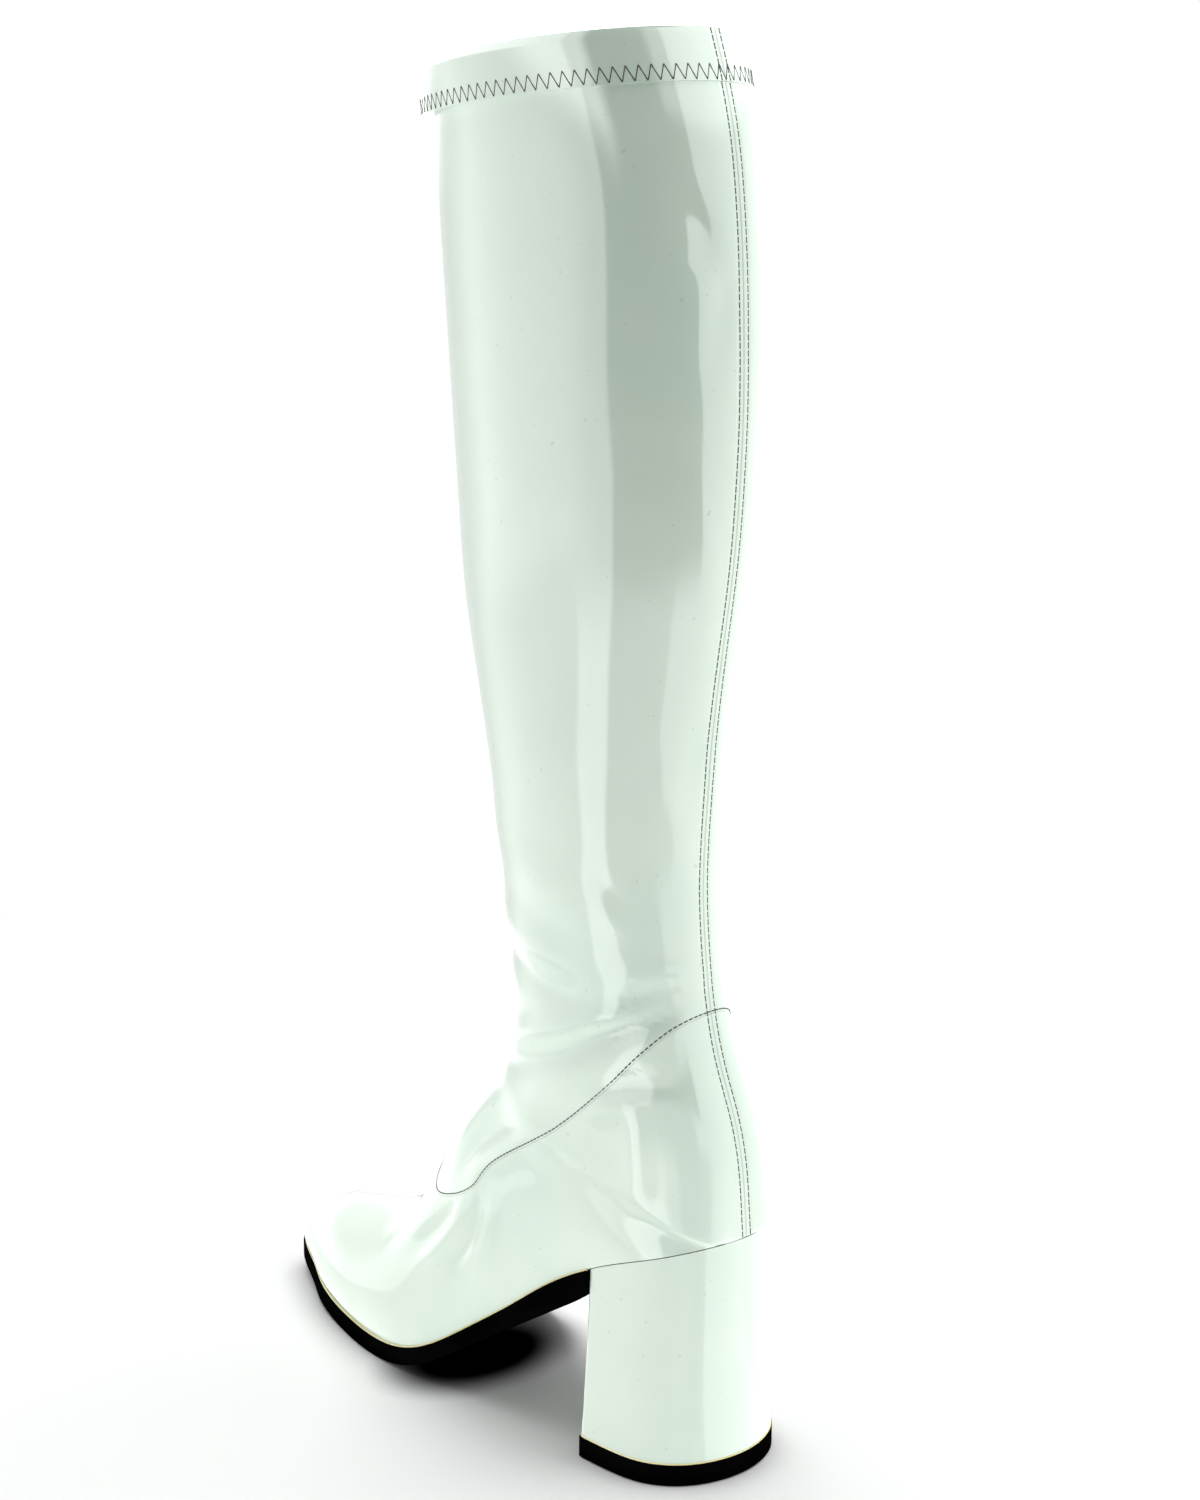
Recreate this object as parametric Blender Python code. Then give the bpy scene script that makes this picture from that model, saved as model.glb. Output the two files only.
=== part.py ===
"""Knee-high boot with a block heel: one left boot, standing on its sole.

The toe points along -Y, the outer side of the foot is +X and +Z is up. Lengths are in metres.
The upper is a wall around the last's own surface, which runs through the sections in two tables. A
section is an arc from a low point, on the sole or up the back seam, over the side to a high point on
the vamp's ridge or down the shin. Sole, heel and insole take their outlines from the same surface.
"""

import math

import bmesh
import bpy
import numpy as np
from mathutils import Matrix

# Driving sizes of the foot
FOOT_LENGTH = 0.2360
BALL_WIDTH = 0.074
SEAT_WIDTH = 0.0545
INSTEP_HEIGHT = 0.1275
HEEL_HEIGHT = 0.0805
HEEL_TOP_LENGTH = 0.0455

# Driving sizes of the shaft
SHAFT_HEIGHT = 0.3745
ANKLE_DEPTH = 0.0821
ANKLE_WIDTH = 0.0530
CALF_DEPTH = 0.1176
CALF_WIDTH = 0.0790
COLLAR_DEPTH = 0.1050
COLLAR_WIDTH = 0.0885
HEM_HEIGHT = 0.0135
HEM_STEP = 0.0008

# Walls, layers and the gap between touching pieces
WALL = 0.0016
GAP = 0.0003
SOLE_THICKNESS = 0.0067
WAIST_THICKNESS = 0.0062
SOLE_MARGIN = 0.0012
SOLE_BEVEL = 0.0009
INSOLE_THICKNESS = 0.0018
INSOLE_CLEARANCE = 0.0014
TOP_LIFT_THICKNESS = 0.0074
TOP_LIFT_PROUD = 0.0005
HEEL_BASE_WIDTH = 0.0615
HEEL_BASE_LENGTH = 0.0470
HEEL_BASE_REACH = 0.0014

# Height of the last's underside where the ball of the foot rests on the flat of the sole
BALL_PLANE = SOLE_THICKNESS + GAP

# Foot sections from the toe's tip to the back of the heel.
# low, high: places along FOOT_LENGTH. rise: height of the low point, as a share of the heel's rise.
# top: height of the high point, as a share of INSTEP_HEIGHT. seat: 0 where widths follow BALL_WIDTH,
# 1 where they follow SEAT_WIDTH. edge, side: half-widths at the sole and at the fullest place.
# sway, lean: sideways places of the low and high point, as shares of the same width. crest: how
# pointed the section is at its high point, where 1 is an ellipse.
FOOT_SECTIONS = (
    # low, rise, high, top, seat, edge, side, sway, lean, crest
    (1.000, 0.082, 1.000, 0.102, 0.0, 0.000, 0.000, -0.351, -0.351, 1.00),
    (0.995, 0.080, 0.993, 0.150, 0.0, 0.108, 0.116, -0.351, -0.349, 1.00),
    (0.976, 0.075, 0.971, 0.196, 0.0, 0.184, 0.201, -0.346, -0.341, 1.00),
    (0.941, 0.061, 0.937, 0.233, 0.0, 0.248, 0.272, -0.335, -0.327, 1.00),
    (0.892, 0.044, 0.893, 0.264, 0.0, 0.316, 0.345, -0.314, -0.305, 1.00),
    (0.835, 0.020, 0.844, 0.291, 0.0, 0.392, 0.419, -0.284, -0.278, 1.02),
    (0.759, 0.000, 0.784, 0.315, 0.0, 0.451, 0.484, -0.246, -0.246, 1.06),
    (0.680, 0.000, 0.725, 0.348, 0.0, 0.492, 0.516, -0.205, -0.211, 1.14),
    (0.603, 0.008, 0.680, 0.394, 0.0, 0.495, 0.522, -0.168, -0.176, 1.28),
    (0.526, 0.086, 0.642, 0.460, 0.2, 0.492, 0.518, -0.141, -0.148, 1.36),
    (0.441, 0.256, 0.608, 0.546, 0.5, 0.476, 0.510, -0.099, -0.114, 1.42),
    (0.352, 0.452, 0.576, 0.637, 0.8, 0.471, 0.512, -0.047, -0.080, 1.42),
    (0.269, 0.642, 0.545, 0.722, 1.0, 0.476, 0.520, -0.010, -0.044, 1.42),
    (0.193, 0.778, 0.512, 0.792, 1.0, 0.484, 0.518, 0.000, -0.018, 1.40),
    (0.129, 0.868, 0.483, 0.850, 1.0, 0.499, 0.523, 0.000, 0.000, 1.37),
    (0.072, 0.933, 0.460, 0.902, 1.0, 0.466, 0.524, 0.000, 0.000, 1.33),
    (0.024, 0.982, 0.444, 0.951, 1.0, 0.301, 0.521, 0.000, 0.000, 1.28),
    (0.003, 1.000, 0.434, 1.000, 1.0, 0.000, 0.513, 0.000, 0.000, 1.23),
)
HEEL_BACK = len(FOOT_SECTIONS) - 1

# Shaft sections, each a closed ring, from just above the heel's back to the collar.
# back_up, front_up: heights above the seat, as shares of SHAFT_HEIGHT. back: place of the back seam
# along FOOT_LENGTH. deep, wide: how far depth and width have gone from the ankle's to the calf's.
# collar: how far both have then gone to the collar's. point, crest: how pointed the ring is at the
# back and front, 1 being an ellipse.
SHAFT_SECTIONS = (
    # back_up, front_up, back, deep, wide, collar, point, crest
    (0.028, 0.146, 0.007, 0.490, 0.052, 0.00, 0.56, 1.17),
    (0.063, 0.167, 0.013, 0.431, 0.022, 0.00, 0.63, 1.12),
    (0.103, 0.190, 0.029, 0.324, 0.003, 0.00, 0.71, 1.08),
    (0.146, 0.214, 0.055, 0.155, 0.000, 0.00, 0.79, 1.04),
    (0.194, 0.242, 0.074, 0.051, 0.040, 0.00, 0.87, 1.02),
    (0.247, 0.275, 0.085, 0.000, 0.123, 0.00, 0.93, 1.00),
    (0.308, 0.319, 0.090, 0.020, 0.292, 0.00, 0.98, 1.00),
    (0.381, 0.381, 0.084, 0.141, 0.460, 0.00, 1.02, 1.00),
    (0.458, 0.458, 0.073, 0.383, 0.577, 0.00, 1.04, 1.00),
    (0.538, 0.538, 0.055, 0.665, 0.730, 0.00, 1.05, 1.00),
    (0.623, 0.621, 0.041, 0.837, 0.885, 0.00, 1.05, 1.00),
    (0.709, 0.704, 0.036, 0.944, 0.985, 0.00, 1.05, 1.00),
    (0.794, 0.784, 0.039, 1.000, 1.000, 0.00, 1.04, 1.00),
    (0.869, 0.853, 0.049, 1.000, 1.000, 0.05, 1.02, 1.00),
    (0.933, 0.909, 0.066, 1.000, 1.000, 0.40, 1.00, 1.00),
    (1.000, 0.969, 0.098, 1.000, 1.000, 1.00, 1.00, 1.00),
)
LAST_STATION = HEEL_BACK + len(SHAFT_SECTIONS)

# Roundness of the heel's back, and the most of a section's width that the sole's edge takes
HEEL_POINT = 0.50
WIDEST_EDGE_SHARE = 0.96

# Stations between which the sole thins from the ball to the waist
WAIST_FROM = 8.0
WAIST_TO = 10.5

# Divisions of the faceted wall and heel, and steps for measuring along the curves
HALF_COLUMNS = 18
ROWS_TO_BREAST = 17
ROWS_TO_HEEL_BACK = 26
ROWS_TO_HEM = 44
HEEL_LEVELS = 4
HEEL_FLARE_POWER = 1.4
MERGE_DISTANCE = 1e-6
TINY = 1e-9
SAMPLES = 2000
TANGENT_REACH = 0.02
SHARP_ANGLE = math.radians(35)

# Finishes
PATENT_COLOUR = (0.78, 0.82, 0.78)
PATENT_ROUGHNESS = 0.12
BLACK_COLOUR = (0.012, 0.012, 0.013)
BLACK_ROUGHNESS = 0.25
LINING_COLOUR = (0.62, 0.58, 0.50)
LINING_ROUGHNESS = 0.7


class Spline:
    """A cubic through evenly counted stations, so that gloss shows no kink at a section. Its ends are
    straight, or level where the curve meets its own mirror image there."""

    def __init__(self, values, level_ends=False):
        self.values = np.array(values, float)
        count = len(self.values)
        matrix = np.eye(count)
        right = np.zeros(count)
        for i in range(1, count - 1):
            matrix[i, i - 1 : i + 2] = (1, 4, 1)
            right[i] = 6 * (self.values[i - 1] - 2 * self.values[i] + self.values[i + 1])
        if level_ends:
            matrix[0, :2] = (2, 1)
            matrix[-1, -2:] = (1, 2)
            right[0] = 6 * (self.values[1] - self.values[0])
            right[-1] = 6 * (self.values[-2] - self.values[-1])
        self.bends = np.linalg.solve(matrix, right)

    def __call__(self, station):
        station = np.asarray(station, float)
        before = np.clip(np.floor(station).astype(int), 0, len(self.values) - 2)
        t = station - before
        a, b = self.values[before], self.values[before + 1]
        p, q = self.bends[before], self.bends[before + 1]
        return a + t * (b - a - (2 * p + q) / 6 + t * (p / 2 + t * (q - p) / 6))


def foot_rows():
    """Sizes of each foot section: the low and high points, half-widths and the back's roundness."""
    rows = []
    for place, rise, high, top, seat, edge, side, sway, lean, crest in FOOT_SECTIONS:
        width = BALL_WIDTH + seat * (SEAT_WIDTH - BALL_WIDTH)
        rows.append(
            {
                "low_y": -place * FOOT_LENGTH,
                "low_z": BALL_PLANE + rise * (HEEL_HEIGHT - BALL_PLANE),
                "high_y": -high * FOOT_LENGTH,
                "high_z": top * INSTEP_HEIGHT,
                "edge": edge * width,
                "side": side * width,
                "sway": sway * width,
                "lean": lean * width,
                "point": 1 + seat * (HEEL_POINT - 1),
                "crest": crest,
            }
        )
    tip = rows[0]
    tip["high_z"] = tip["low_z"]
    return rows


def shaft_rows():
    """The same sizes for each ring of the shaft."""
    rows = []
    for back_up, front_up, back, deep, wide, collar, point, crest in SHAFT_SECTIONS:
        depth = ANKLE_DEPTH + deep * (CALF_DEPTH - ANKLE_DEPTH) + collar * (COLLAR_DEPTH - CALF_DEPTH)
        width = ANKLE_WIDTH + wide * (CALF_WIDTH - ANKLE_WIDTH) + collar * (COLLAR_WIDTH - CALF_WIDTH)
        rows.append(
            {
                "low_y": -back * FOOT_LENGTH,
                "low_z": HEEL_HEIGHT + back_up * SHAFT_HEIGHT,
                "high_y": -back * FOOT_LENGTH - depth,
                "high_z": HEEL_HEIGHT + front_up * SHAFT_HEIGHT,
                "edge": 0.0,
                "side": width / 2,
                "sway": 0.0,
                "lean": 0.0,
                "point": point,
                "crest": crest,
            }
        )
    return rows


SIZES = foot_rows() + shaft_rows()
WHOLE_KEYS = ("high_y", "high_z", "side", "lean", "point", "crest")
WHOLE = {key: Spline([row[key] for row in SIZES]) for key in WHOLE_KEYS}
LOW_KEYS = ("low_y", "low_z", "sway", "edge")
FOOT_SIZES = SIZES[: HEEL_BACK + 1]
SOLE_EDGE = {key: Spline([row[key] for row in FOOT_SIZES], key != "edge") for key in LOW_KEYS}
BACK_SEAM = {key: Spline([row[key] for row in SIZES[HEEL_BACK:]]) for key in LOW_KEYS}


def low_size(key, station):
    """A size of the low point, which follows the sole's edge and then climbs the back seam."""
    on_sole = SOLE_EDGE[key](np.minimum(station, HEEL_BACK))
    if key == "low_z":
        on_sole = np.maximum(on_sole, BALL_PLANE)
    on_back = BACK_SEAM[key](np.maximum(station, HEEL_BACK) - HEEL_BACK)
    return np.where(station <= HEEL_BACK, on_sole, on_back)


def last_surface(around, station, hand):
    """Points of the outer surface: around is 0 at the low point and 1 at the ridge; hand is 1 on the
    outer side of the foot and -1 on the inner side."""
    size = {key: WHOLE[key](station) for key in WHOLE}
    edge = np.maximum(low_size("edge", station), 0)
    side = np.maximum(size["side"], TINY)
    share = np.clip(edge / side, 0, WIDEST_EDGE_SHARE)
    start = np.arcsin(share ** (1 / size["point"]))
    angle = start + around * (math.pi - start)
    up = (np.cos(start) - np.cos(angle)) / (1 + np.cos(start))
    power = size["point"] + up * (size["crest"] - size["point"])
    across = side * np.maximum(np.sin(angle), 0) ** power
    low_x, low_y, low_z = (low_size(key, station) for key in ("sway", "low_y", "low_z"))
    x = low_x + up * (size["lean"] - low_x) + hand * across
    y = low_y + up * (size["high_y"] - low_y)
    z = low_z + up * (size["high_z"] - low_z)
    return np.stack([x, y, z], -1)


def station_where(key, value, first, last):
    """The station between two others at which the low point reaches a place or a height."""
    stations = np.linspace(first, last, SAMPLES)
    reached = low_size(key, stations)
    order = np.argsort(reached)
    return float(np.interp(value, reached[order], stations[order]))


BREAST = station_where("low_y", -HEEL_TOP_LENGTH, 0, HEEL_BACK)
HEM = station_where("low_z", HEEL_HEIGHT + SHAFT_HEIGHT - HEM_HEIGHT, HEEL_BACK, LAST_STATION)


def row_stations():
    """The stations of the rows of the wall's mesh, from the toe's tip to the collar."""
    marks = (0, ROWS_TO_BREAST, ROWS_TO_HEEL_BACK, ROWS_TO_HEM, ROWS_TO_HEM + 1)
    return np.interp(np.arange(ROWS_TO_HEM + 2), marks, (0, BREAST, HEEL_BACK, HEM, LAST_STATION))


def sole_line(stations, hand, margin):
    """Points along the upper's lower edge, moved outwards by a margin and kept on the underside."""

    def edge_line(at):
        across = low_size("sway", at) + hand * np.maximum(low_size("edge", at), 0)
        return np.stack([across, low_size("low_y", at)], -1)

    before = edge_line(np.clip(stations - TANGENT_REACH, 0, HEEL_BACK))
    after = edge_line(np.clip(stations + TANGENT_REACH, 0, HEEL_BACK))
    along = after - before
    along /= np.linalg.norm(along, axis=-1, keepdims=True)
    place = edge_line(stations) + margin * hand * np.stack([along[:, 1], -along[:, 0]], -1)
    return np.column_stack([place, underside(place[:, 1])])


def underside(y):
    """Height of the last's underside at a place along the foot."""
    stations = np.linspace(0, HEEL_BACK, SAMPLES)
    return np.interp(-np.asarray(y), -low_size("low_y", stations)[::-1], low_size("low_z", stations)[::-1])


def material(name, colour, roughness, coat=0.0):
    made = bpy.data.materials.new(name)
    made.use_nodes = True
    shader = made.node_tree.nodes["Principled BSDF"]
    shader.inputs["Base Color"].default_value = (*colour, 1.0)
    shader.inputs["Roughness"].default_value = roughness
    shader.inputs["Metallic"].default_value = 0.0
    shader.inputs["Coat Weight"].default_value = coat
    made.diffuse_color = (*colour, 1.0)
    return made


def add_object(name, bm, finish):
    """Close a mesh's doubled points, point its faces outwards and make the object."""
    bmesh.ops.remove_doubles(bm, verts=bm.verts, dist=MERGE_DISTANCE)
    bmesh.ops.dissolve_degenerate(bm, edges=bm.edges, dist=MERGE_DISTANCE)
    bmesh.ops.recalc_face_normals(bm, faces=bm.faces)
    mesh = bpy.data.meshes.new(name)
    bm.to_mesh(mesh)
    bm.free()
    mesh.materials.append(finish)
    mesh.shade_smooth()
    mesh.set_sharp_from_angle(angle=SHARP_ANGLE)
    made = bpy.data.objects.new(name, mesh)
    bpy.context.collection.objects.link(made)
    return made


def loft(rings, name, finish):
    """Join rings of equally many points into one solid, with a flat face over each open end."""
    bm = bmesh.new()
    verts = [[bm.verts.new(point) for point in ring] for ring in rings]
    count = len(rings[0])
    for ring, following in zip(verts, verts[1:]):
        for i in range(count):
            j = (i + 1) % count
            bm.faces.new((ring[i], ring[j], following[j], following[i]))
    for ring in (verts[0], verts[-1]):
        spread = max((vert.co - ring[0].co).length for vert in ring)
        if spread > MERGE_DISTANCE and polygon_width(ring) > MERGE_DISTANCE:
            bm.faces.new(ring)
    return add_object(name, bm, finish)


def polygon_width(ring):
    """Width across the boot of a ring, which is nothing where the ring has closed to a line."""
    return max(vert.co.x for vert in ring) - min(vert.co.x for vert in ring)


def upper(finish):
    """The wall: outer faces with a step at the hem, inner faces, and a rim at the sole and the collar."""
    places = np.linspace(0, 1, HALF_COLUMNS + 1)
    base = []
    for station in row_stations():
        outer_side = last_surface(places, station, 1)
        inner_side = last_surface(places, station, -1)
        base.append(np.vstack([outer_side, inner_side[-2::-1]]))
    base = np.array(base)
    normals = wall_normals(base)
    hem = base[ROWS_TO_HEM:] + HEM_STEP * normals[ROWS_TO_HEM:]
    outer = np.concatenate([base[: ROWS_TO_HEM + 1], hem])
    inner = base - WALL * normals
    for row in range(ROWS_TO_HEEL_BACK + 1):
        for end in (0, -1):
            inner[row, end, 2] = underside(inner[row, end, 1])

    bm = bmesh.new()
    count = base.shape[1]
    sheets = []
    for sheet in (outer, inner):
        grid = [[bm.verts.new(point) for point in row] for row in sheet]
        for row, following in zip(grid, grid[1:]):
            for i in range(count - 1):
                bm.faces.new((row[i], row[i + 1], following[i + 1], following[i]))
        sheets.append(grid)
    outside, inside = sheets
    for i in range(count - 1):
        bm.faces.new((outside[-1][i], outside[-1][i + 1], inside[-1][i + 1], inside[-1][i]))
    for row in range(ROWS_TO_HEEL_BACK):
        for end in (0, -1):
            bm.faces.new((outside[row][end], outside[row + 1][end], inside[row + 1][end], inside[row][end]))
    return add_object("upper", bm, finish)


def wall_normals(base):
    """Outward directions at the points of the wall's grid, level along the lower rim."""
    def unit(vectors):
        return vectors / np.maximum(np.linalg.norm(vectors, axis=-1, keepdims=True), TINY)

    up_rows = np.gradient(base, axis=0)
    across = np.gradient(base, axis=1)
    ring = slice(ROWS_TO_HEEL_BACK, None)
    seam = (base[ring, 1] - base[ring, -2]) / 2
    across[ring, 0] = seam
    across[ring, -1] = seam
    normals = unit(np.cross(up_rows, across))
    rim = base[: ROWS_TO_HEEL_BACK + 1]
    for end, hand in ((0, 1), (-1, -1)):
        along = np.gradient(rim[:, end, :2], axis=0)
        level = hand * np.stack([along[:, 1], -along[:, 0], 0 * along[:, 0]], -1)
        normals[: ROWS_TO_HEEL_BACK + 1, end] = unit(level)
    normals[0] = (0, -1, 0)
    normals[ROWS_TO_HEEL_BACK, (0, -1)] = (0, 1, 0)
    back = unit(normals[ring, 0] * (0, 1, 1))
    normals[ring, 0] = back
    normals[ring, -1] = back
    return normals


def rim_stations(first, last):
    """The stations of the wall's rows along the sole, between two of those rows."""
    return row_stations()[first : last + 1]


def outsole(finish):
    """Sole from the toe's tip to the heel's breast, with a bevelled lower edge."""
    stations = rim_stations(0, ROWS_TO_BREAST)
    full = [sole_line(stations, hand, SOLE_MARGIN) for hand in (1, -1)]
    pulled_in = [sole_line(stations, hand, SOLE_MARGIN - SOLE_BEVEL) for hand in (1, -1)]
    for points in full + pulled_in:
        points[-1, 1] = -HEEL_TOP_LENGTH - GAP
        points[-1, 2] = underside(points[-1, 1])
    waist = np.interp(stations, (WAIST_FROM, WAIST_TO), (0, 1))
    depth = SOLE_THICKNESS + waist * (WAIST_THICKNESS - SOLE_THICKNESS)
    rings = []
    for i in range(len(stations)):
        ring = []
        for points, below in (
            (full[0], GAP),
            (full[0], GAP + depth[i] - SOLE_BEVEL),
            (pulled_in[0], GAP + depth[i]),
            (pulled_in[1], GAP + depth[i]),
            (full[1], GAP + depth[i] - SOLE_BEVEL),
            (full[1], GAP),
        ):
            ring.append(points[i] - np.array((0, 0, below)))
        rings.append(ring)
    return loft(rings, "outsole", finish)


def insole(finish):
    """Board that fills the floor inside the wall, from toe to heel."""
    stations = rim_stations(0, ROWS_TO_HEEL_BACK)
    inset = -(WALL + INSOLE_CLEARANCE)
    outer_side, inner_side = sole_line(stations, 1, inset), sole_line(stations, -1, inset)
    for end in (0, -1):
        middle = (outer_side[end] + inner_side[end]) / 2
        outer_side[end] = middle
        inner_side[end] = middle
    top = np.array((0, 0, INSOLE_THICKNESS))
    rings = [(a, b, b + top, a + top) for a, b in zip(outer_side, inner_side)]
    return loft(rings, "insole", finish)


def heel_base(stations, hand, grow=0.0):
    """Outline of the heel at its foot: the seat's own outline, stretched to the size of the base."""
    top = sole_line(stations, hand, 0.0)
    seat_half = float(np.max(low_size("edge", stations)))
    across = (HEEL_BASE_WIDTH / 2 + grow) / seat_half
    along = (HEEL_BASE_LENGTH + 2 * grow) / HEEL_TOP_LENGTH
    return np.column_stack([top[:, 0] * across, top[:, 1] * along + HEEL_BASE_REACH + grow])


def heel_block(finish):
    """Covered heel: its top follows the seat, and its sides flare a little to the base."""
    stations = rim_stations(ROWS_TO_BREAST, ROWS_TO_HEEL_BACK)
    sides = {}
    for hand in (1, -1):
        top = sole_line(stations, hand, 0.0) - np.array((0, 0, GAP))
        heights = np.full(len(stations), TOP_LIFT_THICKNESS + GAP)
        base = np.column_stack([heel_base(stations, hand), heights])
        levels = []
        for share in np.linspace(0, 1, HEEL_LEVELS + 1):
            flare = share**HEEL_FLARE_POWER
            levels.append(top + (base - top) * np.array((flare, flare, share)))
        sides[hand] = levels
    rings = []
    for i in range(len(stations)):
        rings.append([level[i] for level in sides[1]] + [level[i] for level in sides[-1][::-1]])
    return loft(rings, "heel_block", finish)


def top_lift(finish):
    """The black piece that meets the floor, a little proud of the covered heel."""
    stations = rim_stations(ROWS_TO_BREAST, ROWS_TO_HEEL_BACK)
    edges = {hand: heel_base(stations, hand, TOP_LIFT_PROUD) for hand in (1, -1)}
    rings = []
    for i in range(len(stations)):
        corners = ((1, TOP_LIFT_THICKNESS), (1, 0), (-1, 0), (-1, TOP_LIFT_THICKNESS))
        rings.append([(*edges[hand][i], height) for hand, height in corners])
    return loft(rings, "top_lift", finish)


def centre_on_origin(pieces):
    """Move every piece alike, so that the origin is under the middle of the boot's box."""
    corners = np.array([vert.co[:] for piece in pieces for vert in piece.data.vertices])
    middle = (corners.min(0) + corners.max(0)) / 2
    shift = Matrix.Translation((-middle[0], -middle[1], 0))
    for piece in pieces:
        piece.data.transform(shift)


def main():
    for old in list(bpy.data.objects):
        bpy.data.objects.remove(old, do_unlink=True)
    patent = material("white_patent", PATENT_COLOUR, PATENT_ROUGHNESS, coat=1.0)
    black = material("black_sole", BLACK_COLOUR, BLACK_ROUGHNESS)
    board = material("insole_lining", LINING_COLOUR, LINING_ROUGHNESS)
    centre_on_origin([upper(patent), outsole(black), insole(board), heel_block(patent), top_lift(black)])


main()
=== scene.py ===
"""Dresses the knee-high boot: patent upper with creases, seams and stitches, sole, heel and studio.

Lengths are in millimetres in the tables and in metres everywhere else. Distances "forward" are from
the back of the heel towards the toe, which points along -Y; the outer side of the foot is +X.
"""

import math

import bmesh
import bpy
import numpy as np
from mathutils import Matrix, Vector, noise
from mathutils.bvhtree import BVHTree


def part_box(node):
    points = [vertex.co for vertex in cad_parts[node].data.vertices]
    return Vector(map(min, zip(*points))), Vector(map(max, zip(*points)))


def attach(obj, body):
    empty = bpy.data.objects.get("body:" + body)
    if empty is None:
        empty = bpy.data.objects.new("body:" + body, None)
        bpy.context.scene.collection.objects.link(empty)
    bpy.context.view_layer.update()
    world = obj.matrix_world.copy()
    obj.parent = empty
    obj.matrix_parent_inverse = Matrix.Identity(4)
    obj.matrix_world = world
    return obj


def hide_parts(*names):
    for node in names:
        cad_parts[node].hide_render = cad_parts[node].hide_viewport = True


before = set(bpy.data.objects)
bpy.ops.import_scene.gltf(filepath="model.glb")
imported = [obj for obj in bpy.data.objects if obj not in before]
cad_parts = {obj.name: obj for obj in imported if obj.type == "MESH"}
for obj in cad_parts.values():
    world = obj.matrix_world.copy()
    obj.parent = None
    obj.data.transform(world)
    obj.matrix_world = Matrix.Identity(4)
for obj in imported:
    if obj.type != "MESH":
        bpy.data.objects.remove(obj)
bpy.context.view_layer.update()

MM = 0.001

# Sizes of the boot
FOOT_LENGTH = 0.2360
BALL_WIDTH = 0.074
SEAT_WIDTH = 0.0545
INSTEP_HEIGHT = 0.1275
HEEL_HEIGHT = 0.0805
HEEL_TOP_LENGTH = 0.0455
SHAFT_HEIGHT = 0.3745
ANKLE_DEPTH = 0.0821
ANKLE_WIDTH = 0.0530
CALF_DEPTH = 0.1176
CALF_WIDTH = 0.0790
COLLAR_DEPTH = 0.1050
COLLAR_WIDTH = 0.0885
HEM_HEIGHT = 0.0158
HEM_STEP = 0.0004
WALL = 0.0016
GAP = 0.0003
SOLE_THICKNESS = 0.0067
WAIST_THICKNESS = 0.0062
SOLE_MARGIN = 0.0012
SOLE_BEVEL = 0.0009
TOP_LIFT_THICKNESS = 0.0074
TOP_LIFT_PROUD = 0.0005
HEEL_BASE_WIDTH = 0.0615
HEEL_BASE_LENGTH = 0.0470
HEEL_BASE_REACH = 0.0014
HEEL_FLARE_POWER = 1.4
BALL_PLANE = SOLE_THICKNESS + GAP

# Foot sections from the toe's tip to the back of the heel, as shares of the sizes above
FOOT_SECTIONS = (
    # low, rise, high, top, seat, edge, side, sway, lean, crest
    (1.000, 0.082, 1.000, 0.102, 0.0, 0.000, 0.000, -0.351, -0.351, 1.00),
    (0.995, 0.080, 0.993, 0.150, 0.0, 0.108, 0.116, -0.351, -0.349, 1.00),
    (0.976, 0.075, 0.971, 0.196, 0.0, 0.184, 0.201, -0.346, -0.341, 1.00),
    (0.941, 0.061, 0.937, 0.233, 0.0, 0.248, 0.272, -0.335, -0.327, 1.00),
    (0.892, 0.044, 0.893, 0.264, 0.0, 0.316, 0.345, -0.314, -0.305, 1.00),
    (0.835, 0.020, 0.844, 0.291, 0.0, 0.392, 0.419, -0.284, -0.278, 1.02),
    (0.759, 0.000, 0.784, 0.315, 0.0, 0.451, 0.484, -0.246, -0.246, 1.06),
    (0.680, 0.000, 0.725, 0.348, 0.0, 0.492, 0.516, -0.205, -0.211, 1.14),
    (0.603, 0.008, 0.680, 0.394, 0.0, 0.495, 0.522, -0.168, -0.176, 1.28),
    (0.526, 0.086, 0.642, 0.460, 0.2, 0.492, 0.518, -0.141, -0.148, 1.36),
    (0.441, 0.256, 0.608, 0.546, 0.5, 0.476, 0.510, -0.099, -0.114, 1.42),
    (0.352, 0.452, 0.576, 0.637, 0.8, 0.471, 0.512, -0.047, -0.080, 1.42),
    (0.269, 0.642, 0.545, 0.722, 1.0, 0.476, 0.520, -0.010, -0.044, 1.42),
    (0.193, 0.778, 0.512, 0.792, 1.0, 0.484, 0.518, 0.000, -0.018, 1.40),
    (0.129, 0.868, 0.483, 0.850, 1.0, 0.499, 0.523, 0.000, 0.000, 1.37),
    (0.072, 0.933, 0.460, 0.902, 1.0, 0.466, 0.524, 0.000, 0.000, 1.33),
    (0.024, 0.982, 0.444, 0.951, 1.0, 0.301, 0.521, 0.000, 0.000, 1.28),
    (0.003, 1.000, 0.434, 1.000, 1.0, 0.000, 0.513, 0.000, 0.000, 1.23),
)
HEEL_BACK = len(FOOT_SECTIONS) - 1

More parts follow.
